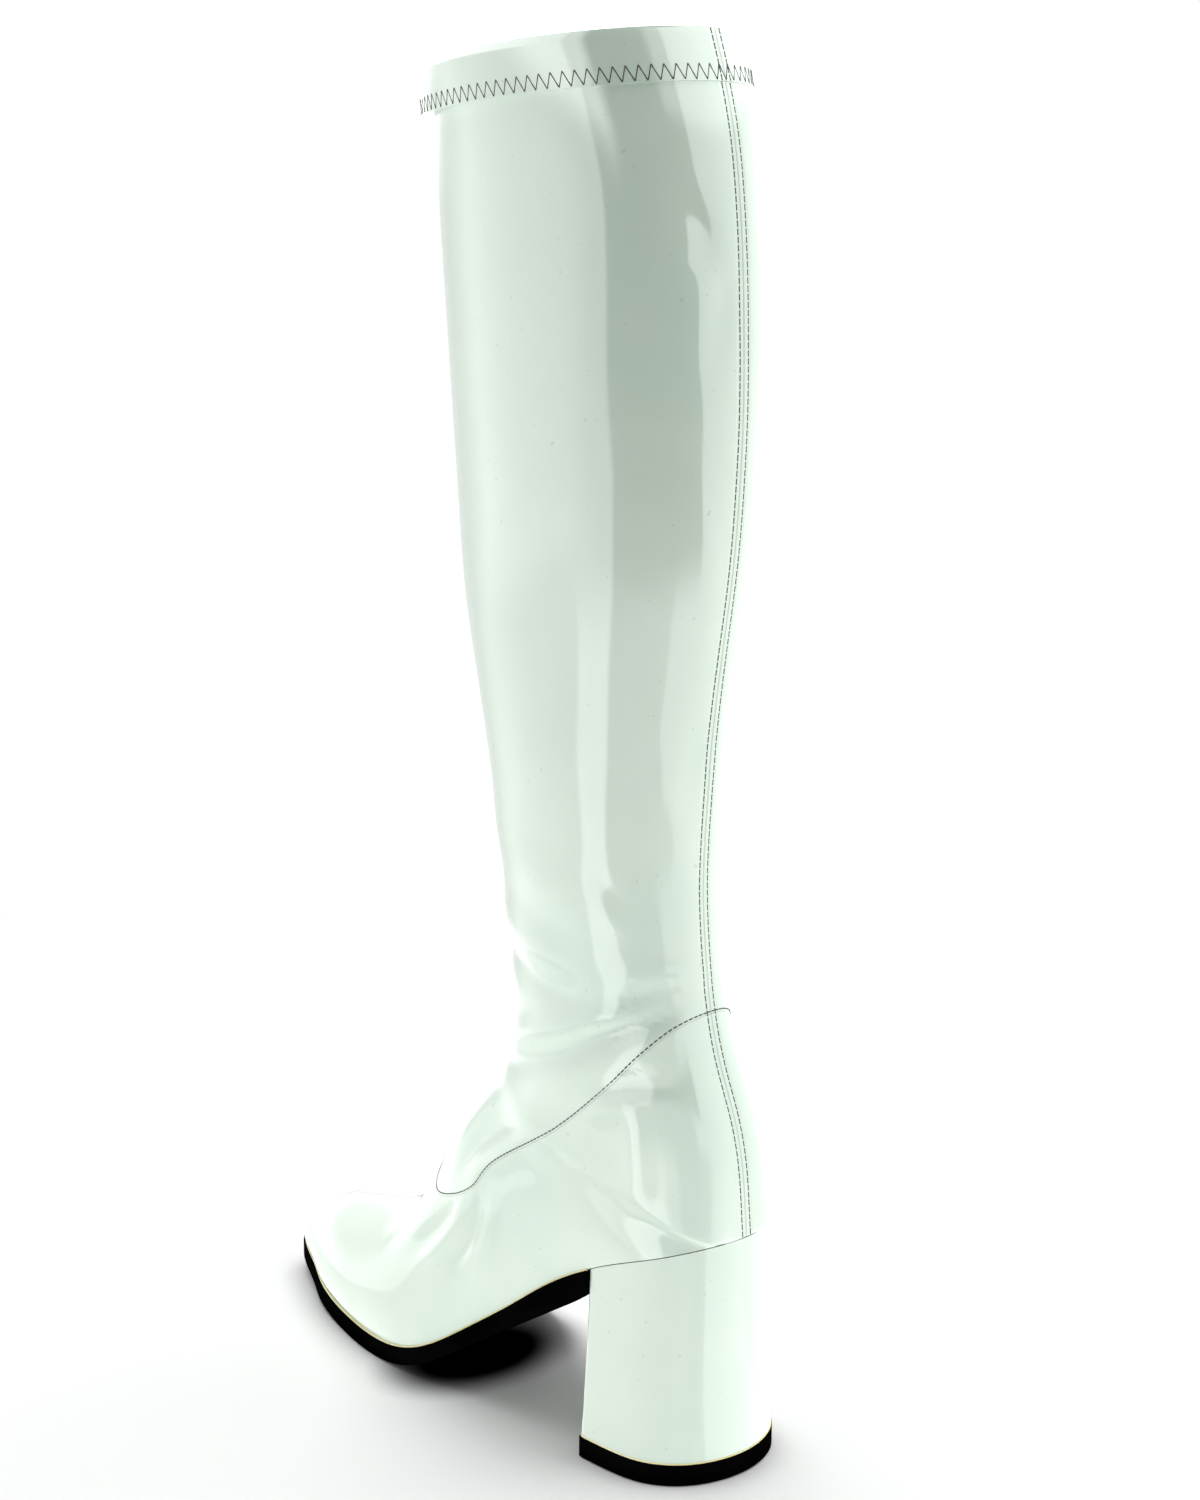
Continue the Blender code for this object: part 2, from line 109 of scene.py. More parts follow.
# Shaft sections from just above the heel's back to the collar
SHAFT_SECTIONS = (
    # back_up, front_up, back, deep, wide, collar, point, crest
    (0.028, 0.146, 0.007, 0.490, 0.052, 0.00, 0.56, 1.17),
    (0.063, 0.167, 0.013, 0.431, 0.022, 0.00, 0.63, 1.12),
    (0.103, 0.190, 0.029, 0.324, 0.003, 0.00, 0.71, 1.08),
    (0.146, 0.214, 0.055, 0.155, 0.000, 0.00, 0.79, 1.04),
    (0.194, 0.242, 0.074, 0.051, 0.040, 0.00, 0.87, 1.02),
    (0.247, 0.275, 0.085, 0.000, 0.123, 0.00, 0.93, 1.00),
    (0.308, 0.319, 0.090, 0.020, 0.292, 0.00, 0.98, 1.00),
    (0.381, 0.381, 0.084, 0.141, 0.460, 0.00, 1.02, 1.00),
    (0.458, 0.458, 0.073, 0.383, 0.577, 0.00, 1.04, 1.00),
    (0.538, 0.538, 0.055, 0.665, 0.730, 0.00, 1.05, 1.00),
    (0.623, 0.621, 0.041, 0.837, 0.885, 0.00, 1.05, 1.00),
    (0.709, 0.704, 0.036, 0.944, 0.985, 0.00, 1.05, 1.00),
    (0.794, 0.784, 0.039, 1.000, 1.000, 0.00, 1.04, 1.00),
    (0.869, 0.853, 0.049, 1.000, 1.000, 0.05, 1.02, 1.00),
    (0.933, 0.909, 0.066, 1.000, 1.000, 0.40, 1.00, 1.00),
    (1.000, 0.969, 0.098, 1.000, 1.000, 1.00, 1.00, 1.00),
)
LAST_STATION = HEEL_BACK + len(SHAFT_SECTIONS)
HEEL_POINT = 0.50
WIDEST_EDGE_SHARE = 0.96
WAIST_FROM = 8.0
WAIST_TO = 10.5
TINY = 1e-9
SAMPLES = 2000
TANGENT_REACH = 0.02

# Divisions of the fine wall, and the height of its rolled rim as a share of its thickness
ROW_PITCH = 0.0021
HALF_COLUMNS = 74
LINING_STRIDE = 2
RIM_ROWS = 4
RIM_RISE = 0.55

# Divisions and roundings of the heel, the sole and the beads of glue
HEEL_STATIONS, SOLE_STATIONS, GLUE_STATIONS = 160, 190, 260
HEEL_CORNER = 2.2 * MM
LIFT_CORNER = 2.0 * MM
SOLE_ROUND = 0.5 * MM
GLUE_RADIUS, LIFT_GLUE_RADIUS = 0.40 * MM, 0.28 * MM
GLUE_PITCH, LIFT_GLUE_PITCH = 1.2 * MM, 0.8 * MM
GLUE_OUT, GLUE_SHIFT = 0.15 * MM, 0.1 * MM
TUBE_SIDES = 8
WELD = 1e-5
SHARP_ANGLE = math.radians(40)

# How many points are compared with a path at a time, and the distance of points that a seam skips
BATCH = 4000
FAR = 1.0

# The lap seam's pitch in mm, over how much of the wall it and a crease are averaged, its smoothing
# rounds, and the distance up to which it is measured straight across
LAP_PITCH = 0.7
LAP_SPREAD, CREASE_SPREAD = 1.5 * MM, 2.5 * MM
LAP_SMOOTHING = 6
SEAM_NEAR = 6 * MM

# The vamp seam's first stitched row, last station and top, and the pitch of its and the back seam's line
VAMP_SEAM_START, VAMP_SEAM_END, VAMP_TOP = 12, 10.6, 0.08
SEAM_PITCH = 1.0 * MM

# The lap seam where the shaft lies over the vamp and quarters: forward, height in mm
LAP_SEAM = (
    (17.0, 151.5), (20.0, 148.5), (25.0, 142.5), (31.0, 135.5), (38.0, 127.5), (47.0, 118.5),
    (61.0, 107.0), (76.0, 97.5), (91.0, 87.5), (98.0, 79.5), (104.0, 74.5), (112.0, 70.5),
    (121.0, 67.5), (129.0, 67.0), (136.0, 70.0), (142.0, 73.5),
)

# Creases: which side of the boot (1 outer, -1 inner, 0 both), three points as forward, height in mm,
# the width of the soft trough or ridge, and its depth, where a trough is below zero
CREASES = (
    # folds over the ankle, from the shin to the back seam
    (1, (92, 122), (56, 135), (22, 153), 4.2, -2.4),
    (1, (94, 130), (62, 142), (30, 152), 4.5, 1.5),
    (1, (52, 141), (36, 147), (21, 155), 2.6, -1.5),
    (1, (48, 145), (34, 151), (20, 158), 2.4, 1.0),
    (1, (36, 154), (27, 158), (19, 159), 4.5, -1.3),
    (1, (40, 160), (28, 165), (18, 163), 4.5, 0.8),
    # wave from the shin, below the calf
    (0, (100, 168), (74, 158), (48, 156), 6.0, -1.7),
    (0, (102, 180), (76, 170), (52, 164), 8.0, 1.0),
    (0, (98, 208), (66, 192), (42, 178), 10.0, 0.9),
    # pinch across the shaft's outer side
    (1, (46, 201), (38, 190), (29, 182), 3.0, -0.22),
    (1, (48, 193), (40, 183), (32, 176), 3.2, 0.20),
    # the quarter, below the lap seam
    (1, (40, 124), (30, 130), (18, 131), 4.5, -1.6),
    (1, (44, 116), (36, 122), (30, 122), 3.6, 1.2),
    (1, (30, 124), (27, 106), (25, 88), 5.0, 1.2),
    # the bulge over the instep
    (1, (104, 84), (86, 96), (64, 108), 7.0, 2.2),
    (1, (118, 80), (108, 96), (92, 110), 6.0, 2.1),
    (1, (112, 78), (97, 94), (76, 106), 3.6, -1.3),
    # flexing creases over the side of the vamp
    (1, (97, 77), (100, 62), (114, 42), 4.0, -1.9),
    (1, (91, 76), (92, 60), (104, 42), 4.5, 1.4),
    (1, (112, 66), (122, 55), (138, 42), 4.0, -1.7),
    (1, (104, 70), (112, 58), (127, 43), 4.2, 1.4),
    (1, (124, 64), (134, 54), (150, 41), 4.6, 0.9),
    (1, (132, 62), (142, 51), (156, 38), 3.8, -0.9),
    (-1, (97, 77), (100, 62), (116, 45), 4.5, -1.2),
    (-1, (112, 66), (122, 55), (138, 42), 4.2, -1.2),
    (-1, (94, 122), (56, 136), (22, 153), 5.0, -2.0),
    (-1, (100, 132), (62, 146), (30, 156), 5.5, 1.3),
    # dents beside the back seam, at the top of the shaft
    (1, (20, 408), (15, 396), (15, 386), 4.5, -0.9),
    (1, (24, 396), (20, 386), (12, 382), 4.0, 0.8),
    (1, (12, 384), (11, 372), (12, 352), 4.5, -0.7),
    (1, (15, 330), (14, 300), (18, 262), 6.0, 0.6),
    (1, (20, 250), (20, 236), (24, 214), 5.0, -0.6),
    (1, (24, 236), (25, 220), (22, 200), 5.0, 0.7),
    (-1, (22, 260), (24, 235), (26, 205), 6.0, -0.7),
    (-1, (40, 300), (44, 270), (40, 235), 9.0, 0.8),
)

# A crease's points, how fast it dies out at its ends, and its reach in widths of the trough or ridge
CREASE_POINTS, CREASE_TAPER, CREASE_REACH = 40, 0.7, 3.2

# Slow waves of the shell: waves to a metre each way, a shift, and height in mm; then the height up to
# which the sole holds the shell, the height over which that fades, and what is left of the waves there
WAVES = (((24, 24, 11), 0, 0.55), ((60, 60, 34), 7, 0.16))
FIRM_UP_TO, FIRM_FADE, FIRM_SHARE = 0.03, 0.12, 0.15

# Columns over which the relief fades in from the sole's rim, and rows over which it does above the heel
RIM_COLUMNS = 6
SEAM_ROWS = 4

# The folded hem stands off the shell most towards this side, by this much
HEM_FRONT = (0.68, -0.73, 0.0)
HEM_STAND = 0.0034

# Stitches: pitch, gap between two stitches, thread radius, and the distance of a row from its seam
SEAM_STITCH = (2.4 * MM, 0.6 * MM, 0.30 * MM, 1.9 * MM)
LAP_STITCH = (1.9 * MM, 0.6 * MM, 0.31 * MM, 0.9 * MM)
VAMP_STITCH = (2.4 * MM, 0.5 * MM, 0.22 * MM, 1.7 * MM)
ZIGZAG_HEIGHT = 4.6 * MM
ZIGZAG_PITCH = 3.8 * MM
ZIGZAG_THREAD = 0.25 * MM
ZIGZAG_RISE = 0.4 * MM
STITCH_SIDES = 6
STITCH_RINGS = (
    # share of the length, girth, lift off the surface in thread radii
    (0.0, 0.40, -0.5),
    (0.10, 0.85, 0.25),
    (0.36, 1.0, 0.6),
    (0.64, 1.0, 0.6),
    (0.90, 0.85, 0.25),
    (1.0, 0.40, -0.5),
)

# Camera, set to the photograph's view: angles in degrees, and the lens in the picture's pixels
IMAGE_HEIGHT = 1500
SENSOR = 36.0
FOCAL_PIXELS = 2677.3
CAMERA_TURN, CAMERA_PITCH, CAMERA_ROLL = 46.9, 11.4, 0.5
CAMERA_DISTANCE = 0.8724
CAMERA_TARGET = (0.0024, 0.070, 0.2290)


class Spline:
    """A cubic through evenly counted stations, with straight or level ends."""

    def __init__(self, values, level_ends=False):
        self.values = np.array(values, float)
        count = len(self.values)
        matrix = np.eye(count)
        right = np.zeros(count)
        for i in range(1, count - 1):
            matrix[i, i - 1 : i + 2] = (1, 4, 1)
            right[i] = 6 * (self.values[i - 1] - 2 * self.values[i] + self.values[i + 1])
        if level_ends:
            matrix[0, :2] = (2, 1)
            matrix[-1, -2:] = (1, 2)
            right[0] = 6 * (self.values[1] - self.values[0])
            right[-1] = 6 * (self.values[-2] - self.values[-1])
        self.bends = np.linalg.solve(matrix, right)

    def __call__(self, station):
        station = np.asarray(station, float)
        before = np.clip(np.floor(station).astype(int), 0, len(self.values) - 2)
        t = station - before
        a, b = self.values[before], self.values[before + 1]
        p, q = self.bends[before], self.bends[before + 1]
        return a + t * (b - a - (2 * p + q) / 6 + t * (p / 2 + t * (q - p) / 6))


SIZE_NAMES = ("low_y", "low_z", "high_y", "high_z", "edge", "side", "sway", "lean", "point", "crest")


def foot_rows():
    """Sizes of the foot's sections, in the order of their names."""
    for place, rise, high, top, seat, edge, side, sway, lean, crest in FOOT_SECTIONS:
        width = BALL_WIDTH + seat * (SEAT_WIDTH - BALL_WIDTH)
        low = (-place * FOOT_LENGTH, BALL_PLANE + rise * (HEEL_HEIGHT - BALL_PLANE))
        ridge = (-high * FOOT_LENGTH, top * INSTEP_HEIGHT)
        across = (edge * width, side * width, sway * width, lean * width)
        yield (*low, *ridge, *across, 1 + seat * (HEEL_POINT - 1), crest)


def shaft_rows():
    """Sizes of the shaft's sections, which have no sole edge and don't lean."""
    for back_up, front_up, back, deep, wide, collar, point, crest in SHAFT_SECTIONS:
        depth = ANKLE_DEPTH + deep * (CALF_DEPTH - ANKLE_DEPTH) + collar * (COLLAR_DEPTH - CALF_DEPTH)
        width = ANKLE_WIDTH + wide * (CALF_WIDTH - ANKLE_WIDTH) + collar * (COLLAR_WIDTH - CALF_WIDTH)
        low = (-back * FOOT_LENGTH, HEEL_HEIGHT + back_up * SHAFT_HEIGHT)
        ridge = (-back * FOOT_LENGTH - depth, HEEL_HEIGHT + front_up * SHAFT_HEIGHT)
        yield (*low, *ridge, 0.0, width / 2, 0.0, 0.0, point, crest)


SIZES = [dict(zip(SIZE_NAMES, row)) for row in (*foot_rows(), *shaft_rows())]
SIZES[0]["high_z"] = SIZES[0]["low_z"]
WHOLE_KEYS = ("high_y", "high_z", "side", "lean", "point", "crest")
WHOLE = {key: Spline([row[key] for row in SIZES]) for key in WHOLE_KEYS}
LOW_KEYS = ("low_y", "low_z", "sway", "edge")
FOOT_SIZES = SIZES[: HEEL_BACK + 1]
SOLE_EDGE = {key: Spline([row[key] for row in FOOT_SIZES], key != "edge") for key in LOW_KEYS}
BACK_SEAM = {key: Spline([row[key] for row in SIZES[HEEL_BACK:]]) for key in LOW_KEYS}


def low_size(key, station):
    """A size of the low point, which follows the sole's edge and then climbs the back seam."""
    on_sole = SOLE_EDGE[key](np.minimum(station, HEEL_BACK))
    if key == "low_z":
        on_sole = np.maximum(on_sole, BALL_PLANE)
    on_back = BACK_SEAM[key](np.maximum(station, HEEL_BACK) - HEEL_BACK)
    return np.where(station <= HEEL_BACK, on_sole, on_back)


# The CAD model's origin lies under the middle of its box, which the lift's box tells
LIFT_LOW, LIFT_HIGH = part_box("top_lift")
LIFT_LENGTH = HEEL_BASE_LENGTH + 2 * TOP_LIFT_PROUD
LIFT_REACH = FOOT_SECTIONS[-1][0] * FOOT_LENGTH * LIFT_LENGTH / HEEL_TOP_LENGTH
ORIGIN = np.array(
    (
        (LIFT_LOW[0] + LIFT_HIGH[0]) / 2,
        LIFT_HIGH[1] + LIFT_REACH - HEEL_BASE_REACH - TOP_LIFT_PROUD,
        0.0,
    )
)


def last_surface(around, station, hand):
    """Points of the outer surface, where around is 0 at the low point and 1 at the ridge."""
    size = {key: WHOLE[key](station) for key in WHOLE}
    edge = np.maximum(low_size("edge", station), 0)
    side = np.maximum(size["side"], TINY)
    share = np.clip(edge / side, 0, WIDEST_EDGE_SHARE)
    start = np.arcsin(share ** (1 / size["point"]))
    angle = start + around * (math.pi - start)
    up = (np.cos(start) - np.cos(angle)) / (1 + np.cos(start))
    power = size["point"] + up * (size["crest"] - size["point"])
    across = side * np.maximum(np.sin(angle), 0) ** power
    low_x, low_y, low_z = (low_size(key, station) for key in ("sway", "low_y", "low_z"))
    x = low_x + up * (size["lean"] - low_x) + hand * across
    y = low_y + up * (size["high_y"] - low_y)
    z = low_z + up * (size["high_z"] - low_z)
    return np.stack([x, y, z], -1) + ORIGIN


def station_where(key, value, first, last):
    """The station between two others at which the low point reaches a place or a height."""
    stations = np.linspace(first, last, SAMPLES)
    reached = low_size(key, stations)
    order = np.argsort(reached)
    return float(np.interp(value, reached[order], stations[order]))


BREAST = station_where("low_y", -HEEL_TOP_LENGTH, 0, HEEL_BACK)
HEM = station_where("low_z", HEEL_HEIGHT + SHAFT_HEIGHT - HEM_HEIGHT, HEEL_BACK, LAST_STATION)


def underside(y):
    """Height of the last's underside at a place along the foot, without the origin's shift."""
    stations = np.linspace(0, HEEL_BACK, SAMPLES)
    return np.interp(-np.asarray(y), -low_size("low_y", stations)[::-1], low_size("low_z", stations)[::-1])


def sole_line(stations, hand, margin):
    """Points along the upper's lower edge, moved outwards by a margin and kept on the underside."""

    def edge_line(at):
        across = low_size("sway", at) + hand * np.maximum(low_size("edge", at), 0)
        return np.stack([across, low_size("low_y", at)], -1)

    before = edge_line(np.clip(stations - TANGENT_REACH, 0, HEEL_BACK))
    after = edge_line(np.clip(stations + TANGENT_REACH, 0, HEEL_BACK))
    along = after - before
    along /= np.linalg.norm(along, axis=-1, keepdims=True)
    place = edge_line(stations) + margin * hand * np.stack([along[:, 1], -along[:, 0]], -1)
    return np.column_stack([place, underside(place[:, 1])])


def unit(vectors):
    return vectors / np.maximum(np.linalg.norm(vectors, axis=-1, keepdims=True), TINY)


def between(places, known, rows):
    """Rows of a table worked out at places between the known ones."""
    return np.column_stack([np.interp(places, known, column) for column in rows.T])


def spread(points, pitch):
    """The same curve with its points evenly spaced, about a pitch apart."""
    points = np.asarray(points, float)
    lengths = np.concatenate([[0], np.cumsum(np.linalg.norm(np.diff(points, axis=0), axis=1))])
    count = max(2, int(round(lengths[-1] / pitch)) + 1)
    return between(np.linspace(0, lengths[-1], count), lengths, points)


def curve_through(points, pitch):
    """A smooth curve through a table's points."""
    columns = np.asarray(points, float).T
    t = np.linspace(0, len(points) - 1, SAMPLES // 4)
    return spread(np.column_stack([Spline(column)(t) for column in columns]), pitch)


def closed_path(points):
    return np.vstack([points, points[:1]])


def smoothed(loop, rounds):
    """A closed loop whose points move towards their neighbours, several times over."""
    for _ in range(rounds):
        loop = (np.roll(loop, 1, 0) + 2 * loop + np.roll(loop, -1, 0)) / 4
    return loop


def grid_faces(rows, columns, closed=False, first=0):
    """Faces from the given rows of a grid to the next ones, where the last column may meet the first."""
    faces = []
    for row in rows:
        start = first + row * columns
        for i in range(columns if closed else columns - 1):
            j = (i + 1) % columns
            faces.append((start + i, start + j, start + columns + j, start + columns + i))
    return faces


def end_faces(first, end, count):
    """Two faces that close a run of rings, whose points are numbered from first up to end."""
    return [tuple(range(first + count - 1, first - 1, -1)), tuple(range(end - count, end))]


def ring_points(middle, radius, across, up, sides):
    angles = [2 * math.pi * turn / sides for turn in range(sides)]
    return [middle + radius * (math.cos(angle) * across + math.sin(angle) * up) for angle in angles]


def add_mesh(name, verts, faces, material, stands_for=()):
    """Make a smooth mesh object that rides on the boot and takes its finish from a material slot."""
    mesh = bpy.data.meshes.new(name)
    mesh.from_pydata([tuple(vert) for vert in verts], [], faces)
    mesh.materials.append(material)
    mesh.update()
    mesh.shade_smooth()
    made = bpy.data.objects.new(name, mesh)
    bpy.context.collection.objects.link(made)
    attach(made, "root")
    if stands_for:
        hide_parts(*stands_for)
    return made


def set_attribute(made, name, values):
    layer = made.data.attributes.new(name, "FLOAT", "POINT")
    layer.data.foreach_set("value", np.asarray(values, np.float32))


# Shader nodes


class Socket:
    """A shader socket that can be used in plain sums."""

    def __init__(self, tree, socket):
        self.tree = tree
        self.socket = socket

    def maths(self, operation, *others):
        return wired(self.tree, "ShaderNodeMath", (self, *others), operation=operation)

    def __add__(self, other):
        return self.maths("ADD", other)

    __radd__ = __add__

    def __sub__(self, other):
        return self.maths("SUBTRACT", other)

    def __rsub__(self, other):
        return (self * -1).maths("ADD", other)

    def __mul__(self, other):
        return self.maths("MULTIPLY", other)

    def __abs__(self):
        return self.maths("ABSOLUTE")

    def ramp(self, low, high):
        """Rises softly from 0 at low to 1 at high."""
        values = (self, low, high, 0.0, 1.0)
        return wired(self.tree, "ShaderNodeMapRange", values, interpolation_type="SMOOTHSTEP")


def join(tree, target, value):
    if isinstance(value, Socket):
        tree.links.new(value.socket, target)
    else:
        target.default_value = value


def wired(tree, kind, values, output=0, **settings):
    """One output of a new shader node, whose inputs are given in their order or by name or number."""
    node = tree.nodes.new(kind)
    for key, value in settings.items():
        setattr(node, key, value)
    for key, value in values.items() if isinstance(values, dict) else enumerate(values):
        join(tree, node.inputs[key], value)
    return Socket(tree, node.outputs[output])


class Finish:
    """A material under construction, with its Principled shader's constants set at the start."""

    def __init__(self, name, **constants):
        self.material = bpy.data.materials.new(name)
        self.material.use_nodes = True
        self.tree = self.material.node_tree
        self.shader = self.tree.nodes["Principled BSDF"]
        for key, value in constants.items():
            self.shader.inputs[key.replace("_", " ")].default_value = value

    def node(self, kind, output=0, **inputs):
        return wired(self.tree, kind, inputs, output)

    def attribute(self, name):
        return wired(self.tree, "ShaderNodeAttribute", (), "Fac", attribute_name=name)

    def place(self):
        return self.node("ShaderNodeTexCoord", "Object")

    def vector(self, operation, *values, output="Vector"):
        """A difference, share, distance or length of other sockets or plain vectors."""
        return wired(self.tree, "ShaderNodeVectorMath", values, output, operation=operation)

    def noise(self, scale, detail=2.0, roughness=0.5, stretch=None):
        vector = self.place()
        if stretch:
            vector = self.node("ShaderNodeMapping", Vector=vector, Scale=stretch)
        inputs = {"Vector": vector, "Scale": scale, "Detail": detail, "Roughness": roughness}
        return self.node("ShaderNodeTexNoise", **inputs)

    def mix(self, share, first, second):
        first, second = ((*c, 1.0) if isinstance(c, tuple) else c for c in (first, second))
        return wired(self.tree, "ShaderNodeMix", {0: share, 6: first, 7: second}, 2, data_type="RGBA")

    def feed(self, key, value):
        join(self.tree, self.shader.inputs[key], value)

    def bump(self, height):
        """Relief whose height is in millimetres."""
        self.feed("Normal", self.node("ShaderNodeBump", Height=height, Strength=1.0, Distance=MM))


CLOUD = (0.35, 0.7)
PATENT_TINT = (0.615, 0.735, 0.640)
PATENT_PALE = (0.665, 0.765, 0.670)
PATENT_SHADE = (0.16, 0.18, 0.16)
SPECK, SPECK_DEPTH = (0.755, 0.79), 0.18
SEAM_LINE_DEPTH = 0.75

# Heights of the patent's relief in mm: fine peel, slow waves, the step of the lap seam, and for the
# back and vamp seams the valley at the seam and the fall at the stitched edge
PEEL, WAVE, LAP_STEP = 0.010, 0.20, 0.34
BACK_VALLEY, BACK_FALL = 0.22, 0.16
VAMP_VALLEY, VAMP_FALL = 0.20, 0.12


def patent(name, seams):
    """High-gloss coated white with a few specks, and with the seams' relief where seams is true."""
    made = Finish(name, Roughness=0.09, Coat_Weight=1.0, Coat_Roughness=0.03, Coat_IOR=1.7)
    cloud = made.noise(16.0, 3.0, 0.55)
    colour = made.mix(cloud.ramp(*CLOUD), PATENT_TINT, PATENT_PALE)
    speck = made.noise(420.0, 1.0).ramp(*SPECK)
    colour = made.mix(speck * SPECK_DEPTH, colour, PATENT_SHADE)
    made.feed("Roughness", 0.07 + made.noise(60.0, 2.0) * 0.06)
    height = made.noise(340.0, 2.0, 0.5) * PEEL + made.noise(26.0, 1.0, 0.4, (1.0, 1.0, 0.45)) * WAVE
    if seams:
        # Each seam's attribute is the distance from it in mm
        lap, back, vamp = (made.attribute(key) for key in ("lap", "back", "vamp"))
        back, vamp = abs(back), abs(vamp)
        height = height + lap.ramp(-0.22, 0.12) * LAP_STEP
        height = height + back.ramp(0.0, 0.55) * BACK_VALLEY - back.ramp(2.1, 3.6) * BACK_FALL
        height = height + vamp.ramp(0.0, 0.5) * VAMP_VALLEY - vamp.ramp(1.7, 3.0) * VAMP_FALL
        line = (1.0 - abs(lap + 0.12).ramp(0.0, 0.30)) * 0.35
        line = line.maths("MAXIMUM", (1.0 - back.ramp(0.05, 0.30)) * 0.45)
        line = line.maths("MAXIMUM", (1.0 - vamp.ramp(0.05, 0.28)) * 0.6)
        colour = made.mix(line * SEAM_LINE_DEPTH, colour, PATENT_SHADE)
    made.feed("Base Color", colour)
    made.bump(height)
    return made.material


def plain_finish(name, colour, other, roughness, shine=0.5, scale=180.0, relief=0.02):
    made = Finish(name, Specular_IOR_Level=shine)
    grain = made.noise(scale, 3.0, 0.6)
    made.feed("Base Color", made.mix(made.noise(35.0, 3.0).ramp(*CLOUD), colour, other))
    made.feed("Roughness", roughness + grain * 0.14)
    made.bump(grain * relief)
    return made.material


# Meshes


def fine_stations():
    """Stations of the fine wall's rows, about evenly spaced along the surface."""
    stations = np.linspace(0, LAST_STATION, SAMPLES)
    steps = [
        np.linalg.norm(np.diff(last_surface(around, stations, 1), axis=0), axis=1)
        for around in (0.0, 0.5, 1.0)
    ]
    lengths = np.concatenate([[0], np.cumsum(np.mean(steps, axis=0))])
    count = int(lengths[-1] / ROW_PITCH)
    rows = np.interp(np.linspace(0, lengths[-1], count), lengths, stations)
    rows[np.argmin(abs(rows - HEEL_BACK))] = HEEL_BACK
    rows[np.argmin(abs(rows - HEM))] = HEM
    return rows


def wall_normals(base, back_row):
    """Outward directions at the points of the wall's grid, level along the lower rim."""
    across = np.gradient(base, axis=1)
    ring = slice(back_row, None)
    across[ring, (0, -1)] = ((base[ring, 1] - base[ring, -2]) / 2)[:, None]
    normals = unit(np.cross(np.gradient(base, axis=0), across))
    normals[ring, (0, -1)] = unit(normals[ring, 0] * (0, 1, 1))[:, None]
    rim = base[: back_row + 1]
    for end, hand in ((0, 1), (-1, -1)):
        along = np.gradient(rim[:, end, :2], axis=0)
        level = np.stack([along[:, 1], -along[:, 0], 0 * along[:, 0]], -1)
        normals[: back_row + 1, end] = unit(hand * level)
    normals[0] = (0, -1, 0)
    normals[back_row, (0, -1)] = (0, 1, 0)
    return normals


def side_points(forward_height):
    """Row-frame Y and Z of points given as forward and height in mm."""
    points = np.asarray(forward_height, float) * MM
    return np.column_stack([ORIGIN[1] - points[:, 0], points[:, 1]])


def to_wall(points, wall, reach):
    """Places on the wall that lie behind points of the side view, averaged over near points."""
    found = []
    for y, z in points:
        near = ((wall[:, 1] - y) ** 2 + (wall[:, 2] - z) ** 2) / reach**2
        share = np.exp(-(near - near.min()))
        found.append((wall * share[:, None]).sum(0) / share.sum())
    return np.array(found)


def bezier(start, middle, end, count):
    t = np.linspace(0, 1, count)[:, None]
    start, middle, end = (np.array(point, float) for point in (start, middle, end))
    control = 2 * middle - (start + end) / 2
    return (1 - t) ** 2 * start + 2 * t * (1 - t) * control + t**2 * end


def crease_relief(base, hand_of):
    """How far each point of the wall moves outwards for the creases, in metres."""
    relief = np.zeros(len(base))
    for side, start, middle, end, width, depth in CREASES:
        for hand in (1, -1) if side == 0 else (side,):
            course = side_points(bezier(start, middle, end, CREASE_POINTS))
            path = to_wall(course, base[hand_of == hand], CREASE_SPREAD)
            taper = np.sin(np.linspace(0, math.pi, len(path))) ** CREASE_TAPER
            reach = CREASE_REACH * width * MM
            low, high = path.min(0) - reach, path.max(0) + reach
            near = np.flatnonzero(np.all((base > low) & (base < high), axis=1))
            gaps = np.linalg.norm(base[near][:, None] - path[None], axis=2)
            shares = (taper * np.exp(-((gaps / (width * MM)) ** 2))).max(1)
            relief[near] += depth * MM * shares
    return relief


def soft_waves(base):
    """Slow waviness of the stretched shell, less near the sole."""
    waves = sum(
        np.array([noise.noise(Vector(point * spacing + shift)) for point in base]) * height
        for spacing, shift, height in WAVES
    )
    firm = np.clip((base[:, 2] - FIRM_UP_TO) / FIRM_FADE, FIRM_SHARE, 1.0)
    return waves * MM * firm


def nearest_on(points, path):
    """The distance from each point to a path's nearest point, and which one that is."""
    distance, nearest = np.empty(len(points)), np.empty(len(points), int)
    for first in range(0, len(points), BATCH):
        part = slice(first, first + BATCH)
        gaps = np.linalg.norm(points[part, None] - path[None], axis=2)
        distance[part], nearest[part] = gaps.min(1), gaps.argmin(1)
    return distance, nearest


def signed_distance(points, loop, outward):
    """Distance from a loop on the wall, positive on the left of its direction seen from outside."""
    along = np.roll(loop, -1, 0) - np.roll(loop, 1, 0)
    distance, nearest = nearest_on(points, loop)
    leftward = np.cross(outward, along[nearest])
    side = np.einsum("ij,ij->i", leftward, points - loop[nearest])
    across = side / np.maximum(np.linalg.norm(leftward, axis=1), TINY)
    return np.where(distance < SEAM_NEAR, across, np.sign(side) * distance)


def level_place(points, path):
    """The path's X and Y at each point's own height."""
    order = np.argsort(path[:, 2])
    return between(points[:, 2], path[order, 2], path[order, :2])


